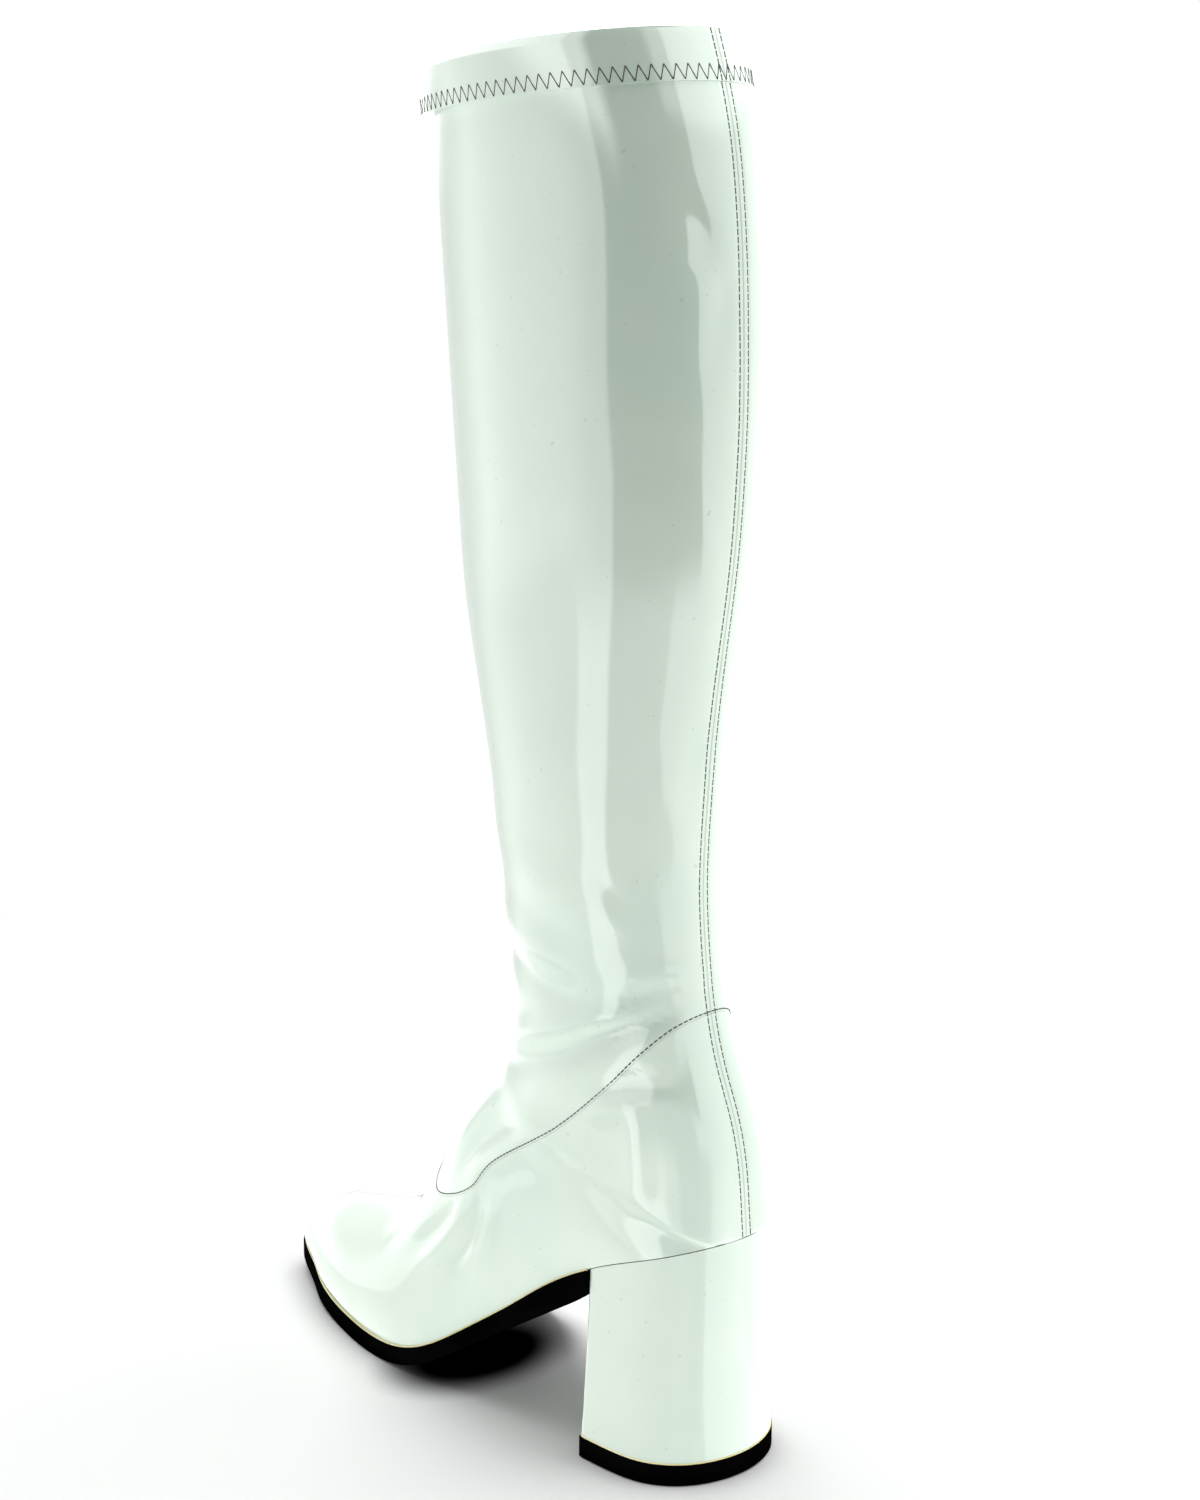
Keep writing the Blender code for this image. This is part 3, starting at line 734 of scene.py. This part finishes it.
def upper_grid(stations, back_row):
    """The uncreased wall's points and outward directions, and the side of the foot of each point."""
    places = np.linspace(0, 1, HALF_COLUMNS + 1)
    rows = []
    for station in stations:
        outer_side, inner_side = (last_surface(places, station, hand) for hand in (1, -1))
        rows.append(np.vstack([outer_side, inner_side[-2::-1]]))
    base = np.array(rows)
    hands = np.where(np.arange(base.shape[1]) <= HALF_COLUMNS, 1, -1)
    return base, wall_normals(base, back_row), np.tile(hands, len(base))


def settled_relief(base, hand_of, back_row):
    """Creases and waves that leave the rim on the sole, and match where the two ends of a row meet."""
    flat = base.reshape(-1, 3)
    relief = (crease_relief(flat, hand_of) + soft_waves(flat)).reshape(base.shape[:2])
    fade = np.clip(np.arange(base.shape[1]) / RIM_COLUMNS, 0, 1)
    fade = np.minimum(fade, fade[::-1])
    relief[: back_row + 1] *= fade * fade * (3 - 2 * fade)
    relief[:, (0, -1)] = ((relief[:, 0] + relief[:, -1]) / 2)[:, None]
    soft = np.arange(1, SEAM_ROWS) / SEAM_ROWS
    relief[back_row + 1 : back_row + SEAM_ROWS, (0, -1)] *= soft[:, None]
    return relief


def seam_paths(outer, stations, back_row, hand_of):
    """The lap seam as a closed loop, the back seam and the vamp's centre seam, on the creased wall."""
    flat = outer.reshape(-1, 3)
    flow = side_points(curve_through(LAP_SEAM, LAP_PITCH))
    sides = [to_wall(flow, flat[hand_of == hand], LAP_SPREAD) for hand in (1, -1)]
    for side in sides:
        side[0, 0] = ORIGIN[0]
    loop = smoothed(np.vstack([sides[0], sides[1][-1:0:-1]]), LAP_SMOOTHING)
    return loop, outer[back_row:, 0], outer[stations < VAMP_SEAM_END, HALF_COLUMNS]


def rolled_rim(edge, outward):
    """Rows that roll the hem's upper edge inwards, across the thickness of the hem and the wall."""
    thick = (WALL + HEM_STEP) / 2
    middle = edge - thick * outward
    upright = np.array((0, 0, RIM_RISE))
    turns = np.linspace(0, math.pi, RIM_ROWS + 2)[1:-1]
    return np.array([middle + thick * (math.cos(t) * outward + math.sin(t) * upright) for t in turns])


def mark_sharp_row(piece, row, count):
    """Keeps the hem's step crisp: the edges on both sides of its narrow faces are sharp."""
    mesh = piece.data
    ends = np.empty(len(mesh.edges) * 2, int)
    mesh.edges.foreach_get("vertices", ends)
    ends = ends.reshape(-1, 2)
    sharp = np.zeros(len(mesh.edges), bool)
    for first in (row * count, (row + 1) * count):
        sharp |= ((ends >= first) & (ends < first + count)).all(1)
    layer = mesh.attributes.new("sharp_edge", "BOOLEAN", "EDGE")
    layer.data.foreach_set("value", sharp)


def build_lining(inner, back_row):
    keep = [*range(0, len(inner), LINING_STRIDE), back_row, len(inner) - 1]
    rows = inner[np.unique(keep)]
    faces = [(a, d, c, b) for a, b, c, d in grid_faces(range(len(rows) - 1), rows.shape[1])]
    colours = (0.60, 0.57, 0.50), (0.68, 0.65, 0.58)
    cloth = plain_finish("lining_cloth", *colours, 0.72, scale=900.0, relief=0.05)
    add_mesh("upper_lining", rows.reshape(-1, 3), faces, cloth)


def build_upper():
    """The shell and its lining, and what the stitches need: the hem's grid and the seams' paths."""
    stations = fine_stations()
    back_row, hem_row = (int(np.argmin(abs(stations - place))) for place in (HEEL_BACK, HEM))
    base, normals, hand_of = upper_grid(stations, back_row)
    outer = base + settled_relief(base, hand_of, back_row)[..., None] * normals
    inner = outer - WALL * normals
    lap_path, back_path, vamp_path = seam_paths(outer, stations, back_row, hand_of)
    points = outer.reshape(-1, 3)
    count = base.shape[1]
    back = np.linalg.norm(points[:, :2] - level_place(points, back_path), axis=1)
    vamp, _ = nearest_on(points, vamp_path)
    seams = {
        "lap": signed_distance(points, lap_path, normals.reshape(-1, 3)),
        "back": np.where(np.repeat(stations, count) >= HEEL_BACK - 2, back, FAR),
        "vamp": np.where(points[:, 2] < VAMP_TOP, vamp, FAR),
    }

    # The outer wall up to the hem's step, the hem, its rolled rim and the top of the lining
    facing = np.clip(normals[hem_row:] @ np.array(HEM_FRONT), 0, 1) ** 2
    hem = outer[hem_row:] + (HEM_STEP + HEM_STAND * facing)[..., None] * normals[hem_row:]
    wall = np.concatenate([outer[: hem_row + 1], hem, rolled_rim(hem[-1], normals[-1]), inner[-1:]])
    faces = grid_faces(range(len(wall) - 1), count)
    finish = patent("white_patent_upper", True)
    piece = add_mesh("upper_shell", wall.reshape(-1, 3), faces, finish, ("upper",))
    for name, values in seams.items():
        grid = values.reshape(base.shape[:2]) / MM
        rim = np.repeat(grid[-1:], RIM_ROWS + 1, 0)
        set_attribute(piece, name, np.concatenate([grid[: hem_row + 1], grid[hem_row:], rim]).ravel())
    mark_sharp_row(piece, hem_row, count)
    build_lining(inner, back_row)
    return piece, hem, lap_path, back_path, vamp_path


def tree_of(piece):
    mesh = piece.data
    faces = [tuple(face.vertices) for face in mesh.polygons]
    return BVHTree.FromPolygons([vert.co for vert in mesh.vertices], faces)


def laid(points, tree):
    """Points moved onto a surface, with the surface's directions there."""
    hits = [tree.find_nearest(Vector(point)) for point in points]
    return np.array([hit[0] for hit in hits]), np.array([hit[1] for hit in hits])


def stitch_mesh(name, stitches, radius, material, tree):
    """One joined mesh of short threads, each laid on the surface from one point to another."""
    verts, faces = [], []
    for start, end in stitches:
        first = len(verts)
        along = unit(end - start)
        for share, girth, lift in STITCH_RINGS:
            spot, outward, _, _ = tree.find_nearest(Vector(start + (end - start) * share))
            side = unit(np.cross(along, outward))
            middle = np.array(spot) + np.array(outward) * lift * radius
            verts += ring_points(middle, girth * radius, side, np.cross(side, along), STITCH_SIDES)
        faces += grid_faces(range(len(STITCH_RINGS) - 1), STITCH_SIDES, closed=True, first=first)
        faces += end_faces(first, len(verts), STITCH_SIDES)
    add_mesh(name, verts, faces, material)


def stitch_row(path, offset, tree, pitch, gap):
    """Stitches along a path on the surface, moved sideways by an offset."""
    path, outward = laid(path, tree)
    along = unit(np.gradient(path, axis=0))
    moved, _ = laid(path + offset * unit(np.cross(outward, along)), tree)
    holes = spread(moved, pitch)
    step = unit(np.diff(holes, axis=0)) * gap / 2
    return [(holes[i] + step[i], holes[i + 1] - step[i]) for i in range(len(holes) - 1)]


def zigzag(hem):
    """Stitches up and down along the hem's lower edge, and the tree of the hem that they lie on."""
    rims = [
        [
            np.interp(column[0, 2] + lift, column[:, 2], column[:, axis])
            for lift in (ZIGZAG_RISE, ZIGZAG_RISE + ZIGZAG_HEIGHT)
            for axis in range(3)
        ]
        for column in hem.transpose(1, 0, 2)
    ]
    both = spread(rims, ZIGZAG_PITCH / math.sqrt(2))
    both = both[: len(both) // 2 * 2 + 1]
    holes = [both[i, :3] if i % 2 == 0 else both[i, 3:] for i in range(len(both))]
    corners = [Vector(point) for point in hem.reshape(-1, 3)]
    tree = BVHTree.FromPolygons(corners, grid_faces(range(len(hem) - 1), hem.shape[1]))
    return list(zip(holes, holes[1:])), tree


def tube(name, path, radius, material):
    """A thin round bead along a path."""
    along = unit(np.gradient(path, axis=0))
    side = unit(np.cross(along, (0, 0, 1.0)))
    verts = []
    for point, across, up in zip(path, side, np.cross(side, along)):
        verts += ring_points(point, radius, across, up, TUBE_SIDES)
    faces = grid_faces(range(len(path) - 1), TUBE_SIDES, closed=True)
    add_mesh(name, verts, faces, material)


def cross_rings(name, rings, material, stands_for):
    """A closed solid through rings of equally many points, with flat ends."""
    count = len(rings[0])
    verts = np.concatenate(rings)
    faces = grid_faces(range(len(rings) - 1), count, closed=True) + end_faces(0, len(verts), count)
    piece = add_mesh(name, verts, faces, material, stands_for)
    bm = bmesh.new()
    bm.from_mesh(piece.data)
    bmesh.ops.remove_doubles(bm, verts=bm.verts, dist=WELD)
    bmesh.ops.recalc_face_normals(bm, faces=bm.faces)
    bm.to_mesh(piece.data)
    bm.free()
    piece.data.set_sharp_from_angle(angle=SHARP_ANGLE)


def rounded_loop(points, radius, pitch=0.5 * MM):
    """A closed outline, evenly spaced, with its corners rounded."""
    return smoothed(spread(closed_path(points), pitch)[:-1], int((radius / pitch) ** 2))


def heel_outline(share, grow=0.0):
    """Outline of the heel at a level, from the seat (0) to its base (1), grown by a margin."""
    stations = np.linspace(BREAST, HEEL_BACK, HEEL_STATIONS)
    seat_half = float(np.max(low_size("edge", stations)))
    flare = share**HEEL_FLARE_POWER
    across = 1 + flare * ((HEEL_BASE_WIDTH / 2 + grow) / seat_half - 1)
    along = 1 + flare * ((HEEL_BASE_LENGTH + 2 * grow) / HEEL_TOP_LENGTH - 1)
    back = flare * (HEEL_BASE_REACH + grow)
    sides = []
    for hand in (1, -1):
        top = sole_line(stations, hand, 0.0)
        sides.append(np.column_stack([top[:, 0] * across, top[:, 1] * along + back]))
    return np.vstack([sides[0], sides[1][::-1][1:]])


def build_heel(material):
    shares = np.concatenate([[0.0, 0.004], np.linspace(0.02, 0.98, 24), [0.996, 1.0]])
    loops = [rounded_loop(heel_outline(share), HEEL_CORNER) for share in shares]
    count = min(len(loop) for loop in loops)
    base = TOP_LIFT_THICKNESS + GAP
    rings = []
    for loop, share in zip(loops, shares):
        top = underside(loop[:, 1]) - GAP
        ring = spread(closed_path(np.column_stack([loop, top + (base - top) * share])), 1.0 * MM)
        pace = np.linspace(0, len(ring) - 1, count + 1)[:-1]
        rings.append(between(pace, np.arange(len(ring)), ring) + ORIGIN)
    cross_rings("heel_cover", rings, material, ("heel_block",))


def build_lift(material):
    loop = rounded_loop(heel_outline(1.0, TOP_LIFT_PROUD), LIFT_CORNER)
    inward = unit(loop.mean(0) - loop)
    top = TOP_LIFT_THICKNESS / MM
    rings = []
    # Height and inset of the levels in mm, from the top to the floor
    for height, inset in ((top, 0.5), (top - 0.35, 0.0), (0.5, 0.0), (0.0, 0.6)):
        level = np.full(len(loop), height * MM)
        rings.append(np.column_stack([loop + inward * inset * MM, level]) + ORIGIN)
    cross_rings("heel_lift", rings, material, ("top_lift",))


def sole_stations(count):
    """Stations from the toe to the heel's breast, closest at the toe."""
    return BREAST * (1 - np.cos(np.linspace(0, math.pi / 2, count)))


def build_sole(material):
    """The sole, drawn across the foot at close stations, with softly rounded edges."""
    stations = sole_stations(SOLE_STATIONS)
    waist = np.interp(stations, (WAIST_FROM, WAIST_TO), (0, 1))
    depth = SOLE_THICKNESS + waist * (WAIST_THICKNESS - SOLE_THICKNESS)
    turns = np.linspace(0, math.pi / 2, 4)
    profile = [(SOLE_ROUND * (1 - math.sin(t)), SOLE_ROUND * (1 - math.cos(t))) for t in turns]
    profile += [(SOLE_BEVEL * (1 - math.cos(t)), depth - SOLE_BEVEL * (1 - math.sin(t))) for t in turns]
    lines = []
    for hand in (1, -1):
        for inset, drop in profile[::hand]:
            line = sole_line(stations, hand, SOLE_MARGIN - inset)
            line[-1, 1] = -HEEL_TOP_LENGTH - GAP
            line[-1, 2] = underside(line[-1, 1])
            line[:, 2] -= GAP + drop
            lines.append(line)
    cross_rings("sole", np.stack(lines, 1) + ORIGIN, material, ("outsole",))


def glue_path():
    """Along the join of upper and sole, from the breast round the toe to the breast."""
    outer_side, inner_side = (sole_line(sole_stations(GLUE_STATIONS), hand, GLUE_OUT) for hand in (1, -1))
    return spread(np.vstack([outer_side[::-1], inner_side[1:]]), GLUE_PITCH) + ORIGIN - (0, 0, GLUE_SHIFT)


def lift_glue_path():
    """Round the join of the heel and its top lift."""
    closed = spread(closed_path(rounded_loop(heel_outline(1.0), HEEL_CORNER)), LIFT_GLUE_PITCH)
    return np.column_stack([closed, np.full(len(closed), TOP_LIFT_THICKNESS + GLUE_SHIFT)]) + ORIGIN


# The boot's pieces
thread = plain_finish("seam_thread", (0.018, 0.016, 0.014), (0.045, 0.040, 0.032), 0.6, scale=2500.0)
pale_thread = plain_finish("pale_thread", (0.36, 0.38, 0.36), (0.50, 0.53, 0.50), 0.6, scale=2500.0)
black = plain_finish("black_sole_finish", (0.001, 0.001, 0.001), (0.002, 0.002, 0.002), 0.6, shine=0.0)
glue = plain_finish("cream_glue", (0.78, 0.70, 0.34), (0.88, 0.80, 0.50), 0.5)

shell, hem, lap_path, back_path, vamp_path = build_upper()
shell_tree = tree_of(shell)
back_line = spread(back_path, SEAM_PITCH)
vamp_line = spread(vamp_path[VAMP_SEAM_START:], SEAM_PITCH)
STITCH_ROWS = (
    # name, line, stitch, side of the line, thread
    ("back_stitches_outer", back_line, SEAM_STITCH, 1, thread),
    ("back_stitches_inner", back_line, SEAM_STITCH, -1, thread),
    ("lap_stitches", closed_path(lap_path), LAP_STITCH, 1, thread),
    ("vamp_stitches_outer", vamp_line, VAMP_STITCH, 1, pale_thread),
    ("vamp_stitches_inner", vamp_line, VAMP_STITCH, -1, pale_thread),
)
for name, line, (pitch, gap, radius, offset), hand, material in STITCH_ROWS:
    stitches = stitch_row(line, hand * offset, shell_tree, pitch, gap)
    stitch_mesh(name, stitches, radius, material, shell_tree)
threads, hem_tree = zigzag(hem)
stitch_mesh("hem_zigzag", threads, ZIGZAG_THREAD, thread, hem_tree)
tube("glue_line", glue_path(), GLUE_RADIUS, glue)
tube("lift_glue_line", lift_glue_path(), LIFT_GLUE_RADIUS, glue)
build_heel(patent("white_patent_heel", False))
build_lift(black)
build_sole(black)
board = plain_finish("insole_board", (0.58, 0.55, 0.47), (0.66, 0.62, 0.54), 0.7, scale=700.0, relief=0.04)
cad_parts["insole"].data.materials[0] = board

# The studio
BLACK, WHITE = (0.0, 0.0, 0.0), (1.0, 1.0, 1.0)
STAGE_MIDDLE = (0.0, 0.05)
STAGE = Vector((*STAGE_MIDDLE, 0.0))

# The floor: its radius, the distances over which it turns white, its paleness and its own glow, and
# the painted contact shadow under the ball of the foot, as middle, half width and depth, and soft edge in
# those
FLOOR_REACH, FLOOR_SIDES = 0.80, 96
FLOOR_FADE = (0.30, 0.72)
FLOOR_PALE = 0.70
FLOOR_GLOW = 0.04
PAINTED_SHADOW_MIDDLE, PAINTED_SHADOW_REACH = (0.001, -0.009), (0.026, 0.017)
PAINTED_SHADOW_FADE = (0.85, 1.9)
DOME_REACH = 8.0

# What the gloss mirrors: the ring's radius, its inner edge on the floor, its height there and in all
RING_REACH, RING_CORE, RING_BASE, RING_HEIGHT = 0.32, 0.02, 0.0006, 0.75
RING_SHADE = 0.30
RING_SOFT = 0.025
RING_RED, RING_BLUE = 0.97, 0.98

# Sheets of the ring: from and to as compass turns to the left of the camera's side, the softness of
# those edges, the heights between which the sheet reaches (-1 on the floor), and what it adds
RING_SHEETS = (
    (31, 200, 1.5, -0.5, 1.0, 1.35),
    (45, 112, 10.0, 0.22, 1.0, 0.55),
    (122, 160, 14.0, 0.06, 0.42, -0.75),
    (-34, 31, 1.5, -0.5, 0.20, 0.8),
    (164, 200, 8.0, 0.06, 1.0, 1.2),
    (30, 52, 2.0, -0.5, 0.20, 1.1),
    (19, 31, 2.0, -0.5, 0.07, 0.6),
    (-78, -34, 1.5, -2.0, 1.0, 1.5),
    (-34, -17, 1.5, 0.12, 0.19, 0.8),
    (-34, -18, 1.5, -2.0, 0.045, 0.6),
    (-200, -78, 2.0, -2.0, 1.0, 1.2),
    (20, 200, 4.0, 0.44, 1.0, 2.6),
    (-200, -18, 4.0, 0.52, 1.0, 1.2),
    (-18, 178, 4.0, -2.0, -0.5, 0.85),
)

# Softboxes at the sides: from and to as compass turns, distance, lower and upper edge, brightness
PANELS = (
    ("left_side", 50, 112, 0.90, 0.20, 1.15, 0.80),
    ("left_back", 114, 176, 0.90, 0.20, 1.15, 0.60),
    ("right_side", -55, -120, 0.90, 0.20, 1.15, 2.0),
)
OVERHEAD_PLACE, OVERHEAD_SIZE, OVERHEAD_LEVEL = (-0.25, -0.30, 1.5), 1.5, 4.2
BOUNCE_HEIGHT, BOUNCE_SIZE, BOUNCE_LEVEL = 0.003, 1.0, 0.9
AIR_TINT, AIR_LEVEL = (0.93, 1.0, 0.95, 1.0), 0.20


def stage_piece(name, mesh, material):
    """A mesh of the studio, with its finish."""
    mesh.materials.append(material)
    piece = bpy.data.objects.new(name, mesh)
    bpy.context.collection.objects.link(piece)
    return piece


def floor_finish():
    """Pale paper near the boot, where shadows show, which turns to pure white further out."""
    made = Finish("floor_finish", Roughness=1.0, Specular_IOR_Level=0.0, Emission_Strength=1.0)
    gap = made.vector("DISTANCE", made.place(), (*STAGE_MIDDLE, 0.0), output="Value")
    # Painted contact shadow: the paper's paleness and glow fall to black inside an oval under the ball of
    # the foot
    under = made.vector("SUBTRACT", made.place(), (*PAINTED_SHADOW_MIDDLE, 0.0))
    painted_shadow_spot = made.vector("DIVIDE", under, (*PAINTED_SHADOW_REACH, 1.0))
    outside_painted_shadow = made.vector("LENGTH", painted_shadow_spot, output="Value").ramp(*PAINTED_SHADOW_FADE)
    far = gap.ramp(*FLOOR_FADE)
    pale, glow = (made.mix(outside_painted_shadow, BLACK, (level,) * 3) for level in (FLOOR_PALE, FLOOR_GLOW))
    made.feed("Base Color", made.mix(far, pale, BLACK))
    made.feed("Emission Color", made.mix(far, glow, WHITE))
    return made.material


def stage_place(angle, distance):
    """A place on the floor at an angle round the boot, from +X towards +Y."""
    x, y = STAGE_MIDDLE
    return Vector((x + distance * math.cos(angle), y + distance * math.sin(angle), 0))


def round_the_boot(turn, distance):
    """A place on the floor at a compass angle round the boot, to the left of the camera's side."""
    return stage_place(math.atan2(CAMERA_BACK[1], CAMERA_BACK[0]) - math.radians(turn), distance)


def floor():
    mesh = bpy.data.meshes.new("floor")
    angles = [2 * math.pi * turn / FLOOR_SIDES for turn in range(FLOOR_SIDES)]
    mesh.from_pydata([stage_place(angle, FLOOR_REACH) for angle in angles], [], [tuple(range(FLOOR_SIDES))])
    stage_piece("floor", mesh, floor_finish())


def backdrop():
    """The white paper all round, which only the camera sees."""
    made = Finish("paper", Base_Color=(*BLACK, 1.0), Emission_Color=(*WHITE, 1.0), Emission_Strength=1.0)
    bm = bmesh.new()
    bmesh.ops.create_uvsphere(bm, u_segments=32, v_segments=16, radius=DOME_REACH)
    mesh = bpy.data.meshes.new("backdrop")
    bm.to_mesh(mesh)
    bm.free()
    piece = stage_piece("backdrop", mesh, made.material)
    piece.visible_diffuse = piece.visible_glossy = piece.visible_shadow = False
    piece.visible_transmission = False


def mirror_ring():
    """The sheets that the gloss mirrors, bright and shaded by their compass turn round the boot."""
    black = (*BLACK, 1.0)
    made = Finish("mirror_ring_finish", Base_Color=black, Specular_IOR_Level=0.0, Emission_Strength=1.0)
    turn, rise = made.attribute("turn"), made.attribute("rise")
    glow = turn * 0.0 + RING_SHADE
    for first, last, soft, low, top, level in RING_SHEETS:
        across = turn.ramp(first - soft, first + soft) - turn.ramp(last - soft, last + soft)
        height = rise.ramp(low - RING_SOFT, low + RING_SOFT) - rise.ramp(top - RING_SOFT, top + RING_SOFT)
        glow = glow + across * height * level
    tint = made.node("ShaderNodeCombineColor", Red=glow * RING_RED, Green=glow, Blue=glow * RING_BLUE)
    made.feed("Emission Color", tint)
    turns = np.linspace(-180, 180, 181)
    rings = (
        # radius, height, and the height that the sheets go by
        (RING_CORE, RING_BASE, -1.0),
        (RING_REACH, RING_BASE, -1.0),
        (RING_REACH, RING_BASE, 0.0),
        (RING_REACH, RING_HEIGHT, RING_HEIGHT),
    )
    verts = [(*round_the_boot(turn, reach).xy, level) for reach, level, _ in rings for turn in turns]
    mesh = bpy.data.meshes.new("mirror_ring")
    mesh.from_pydata(verts, [], grid_faces((0, 2), len(turns)))
    piece = stage_piece("mirror_ring", mesh, made.material)
    set_attribute(piece, "turn", np.tile(turns, len(rings)))
    set_attribute(piece, "rise", np.repeat([rise for _, _, rise in rings], len(turns)))
    piece.visible_camera = piece.visible_diffuse = piece.visible_shadow = False


def area_lamp(name, place, width, tall, brightness, target, mirrored=False):
    """A rectangular softbox with an even brightness, which the camera doesn't see."""
    light = bpy.data.lights.new(name, "AREA")
    light.shape = "RECTANGLE"
    light.size, light.size_y = width, tall
    light.energy = brightness * math.pi * width * tall
    lamp = bpy.data.objects.new(name, light)
    bpy.context.collection.objects.link(lamp)
    lamp.location = place
    lamp.rotation_euler = (place - target).to_track_quat("Z", "Y").to_euler()
    lamp.visible_camera = False
    lamp.visible_glossy = mirrored


def panel(name, first, last, distance, low, high, brightness):
    """An upright softbox beside the boot, which the gloss doesn't mirror."""
    a, b = round_the_boot(first, distance), round_the_boot(last, distance)
    up = Vector((0, 0, (low + high) / 2))
    area_lamp(name, (a + b) / 2 + up, (a - b).length, high - low, brightness, STAGE + up)


def camera_axes():
    """Right, up and forward of the photograph's camera, and its eye, in the row frame."""
    turn, pitch, roll = (math.radians(a) for a in (CAMERA_TURN, CAMERA_PITCH, CAMERA_ROLL))
    ahead = math.cos(pitch)
    forward = np.array((math.sin(turn) * ahead, math.cos(turn) * ahead, -math.sin(pitch)))
    level = unit(np.cross(forward, (0, 0, 1.0)))
    upright = np.cross(level, forward)
    right = math.cos(roll) * level + math.sin(roll) * upright
    up = -math.sin(roll) * level + math.cos(roll) * upright
    across, along, height = CAMERA_TARGET
    eye = np.array((0, along, height)) + across * right - CAMERA_DISTANCE * forward
    # The angles are measured in a frame turned half round from the row frame
    turned = np.array((-1, -1, 1))
    return right * turned, up * turned, forward * turned, eye * turned + ORIGIN


RIGHT, UP, FORWARD, EYE = camera_axes()
CAMERA_BACK = -FORWARD
lens = bpy.data.cameras.new("camera")
lens.sensor_width = SENSOR
lens.lens = FOCAL_PIXELS / IMAGE_HEIGHT * SENSOR
camera = bpy.data.objects.new("camera", lens)
bpy.context.collection.objects.link(camera)
camera.matrix_world = Matrix(
    [(*axes, place) for *axes, place in zip(RIGHT, UP, CAMERA_BACK, EYE)] + [(0, 0, 0, 1)]
)
bpy.context.scene.camera = camera

floor()
backdrop()
mirror_ring()
for values in PANELS:
    panel(*values)
place = STAGE + Vector(OVERHEAD_PLACE)
area_lamp("overhead", place, OVERHEAD_SIZE, OVERHEAD_SIZE, OVERHEAD_LEVEL, STAGE, mirrored=True)
# The light that the pale paper throws back up at the boot
place = STAGE + Vector((0, 0, BOUNCE_HEIGHT))
area_lamp("floor_glow", place, BOUNCE_SIZE, BOUNCE_SIZE, BOUNCE_LEVEL, place + Vector((0, 0, 1)))

world = bpy.data.worlds.new("studio_air")
world.use_nodes = True
air = world.node_tree.nodes["Background"]
air.inputs["Color"].default_value = AIR_TINT
air.inputs["Strength"].default_value = AIR_LEVEL
bpy.context.scene.world = world
bpy.context.scene.view_settings.view_transform = "Standard"
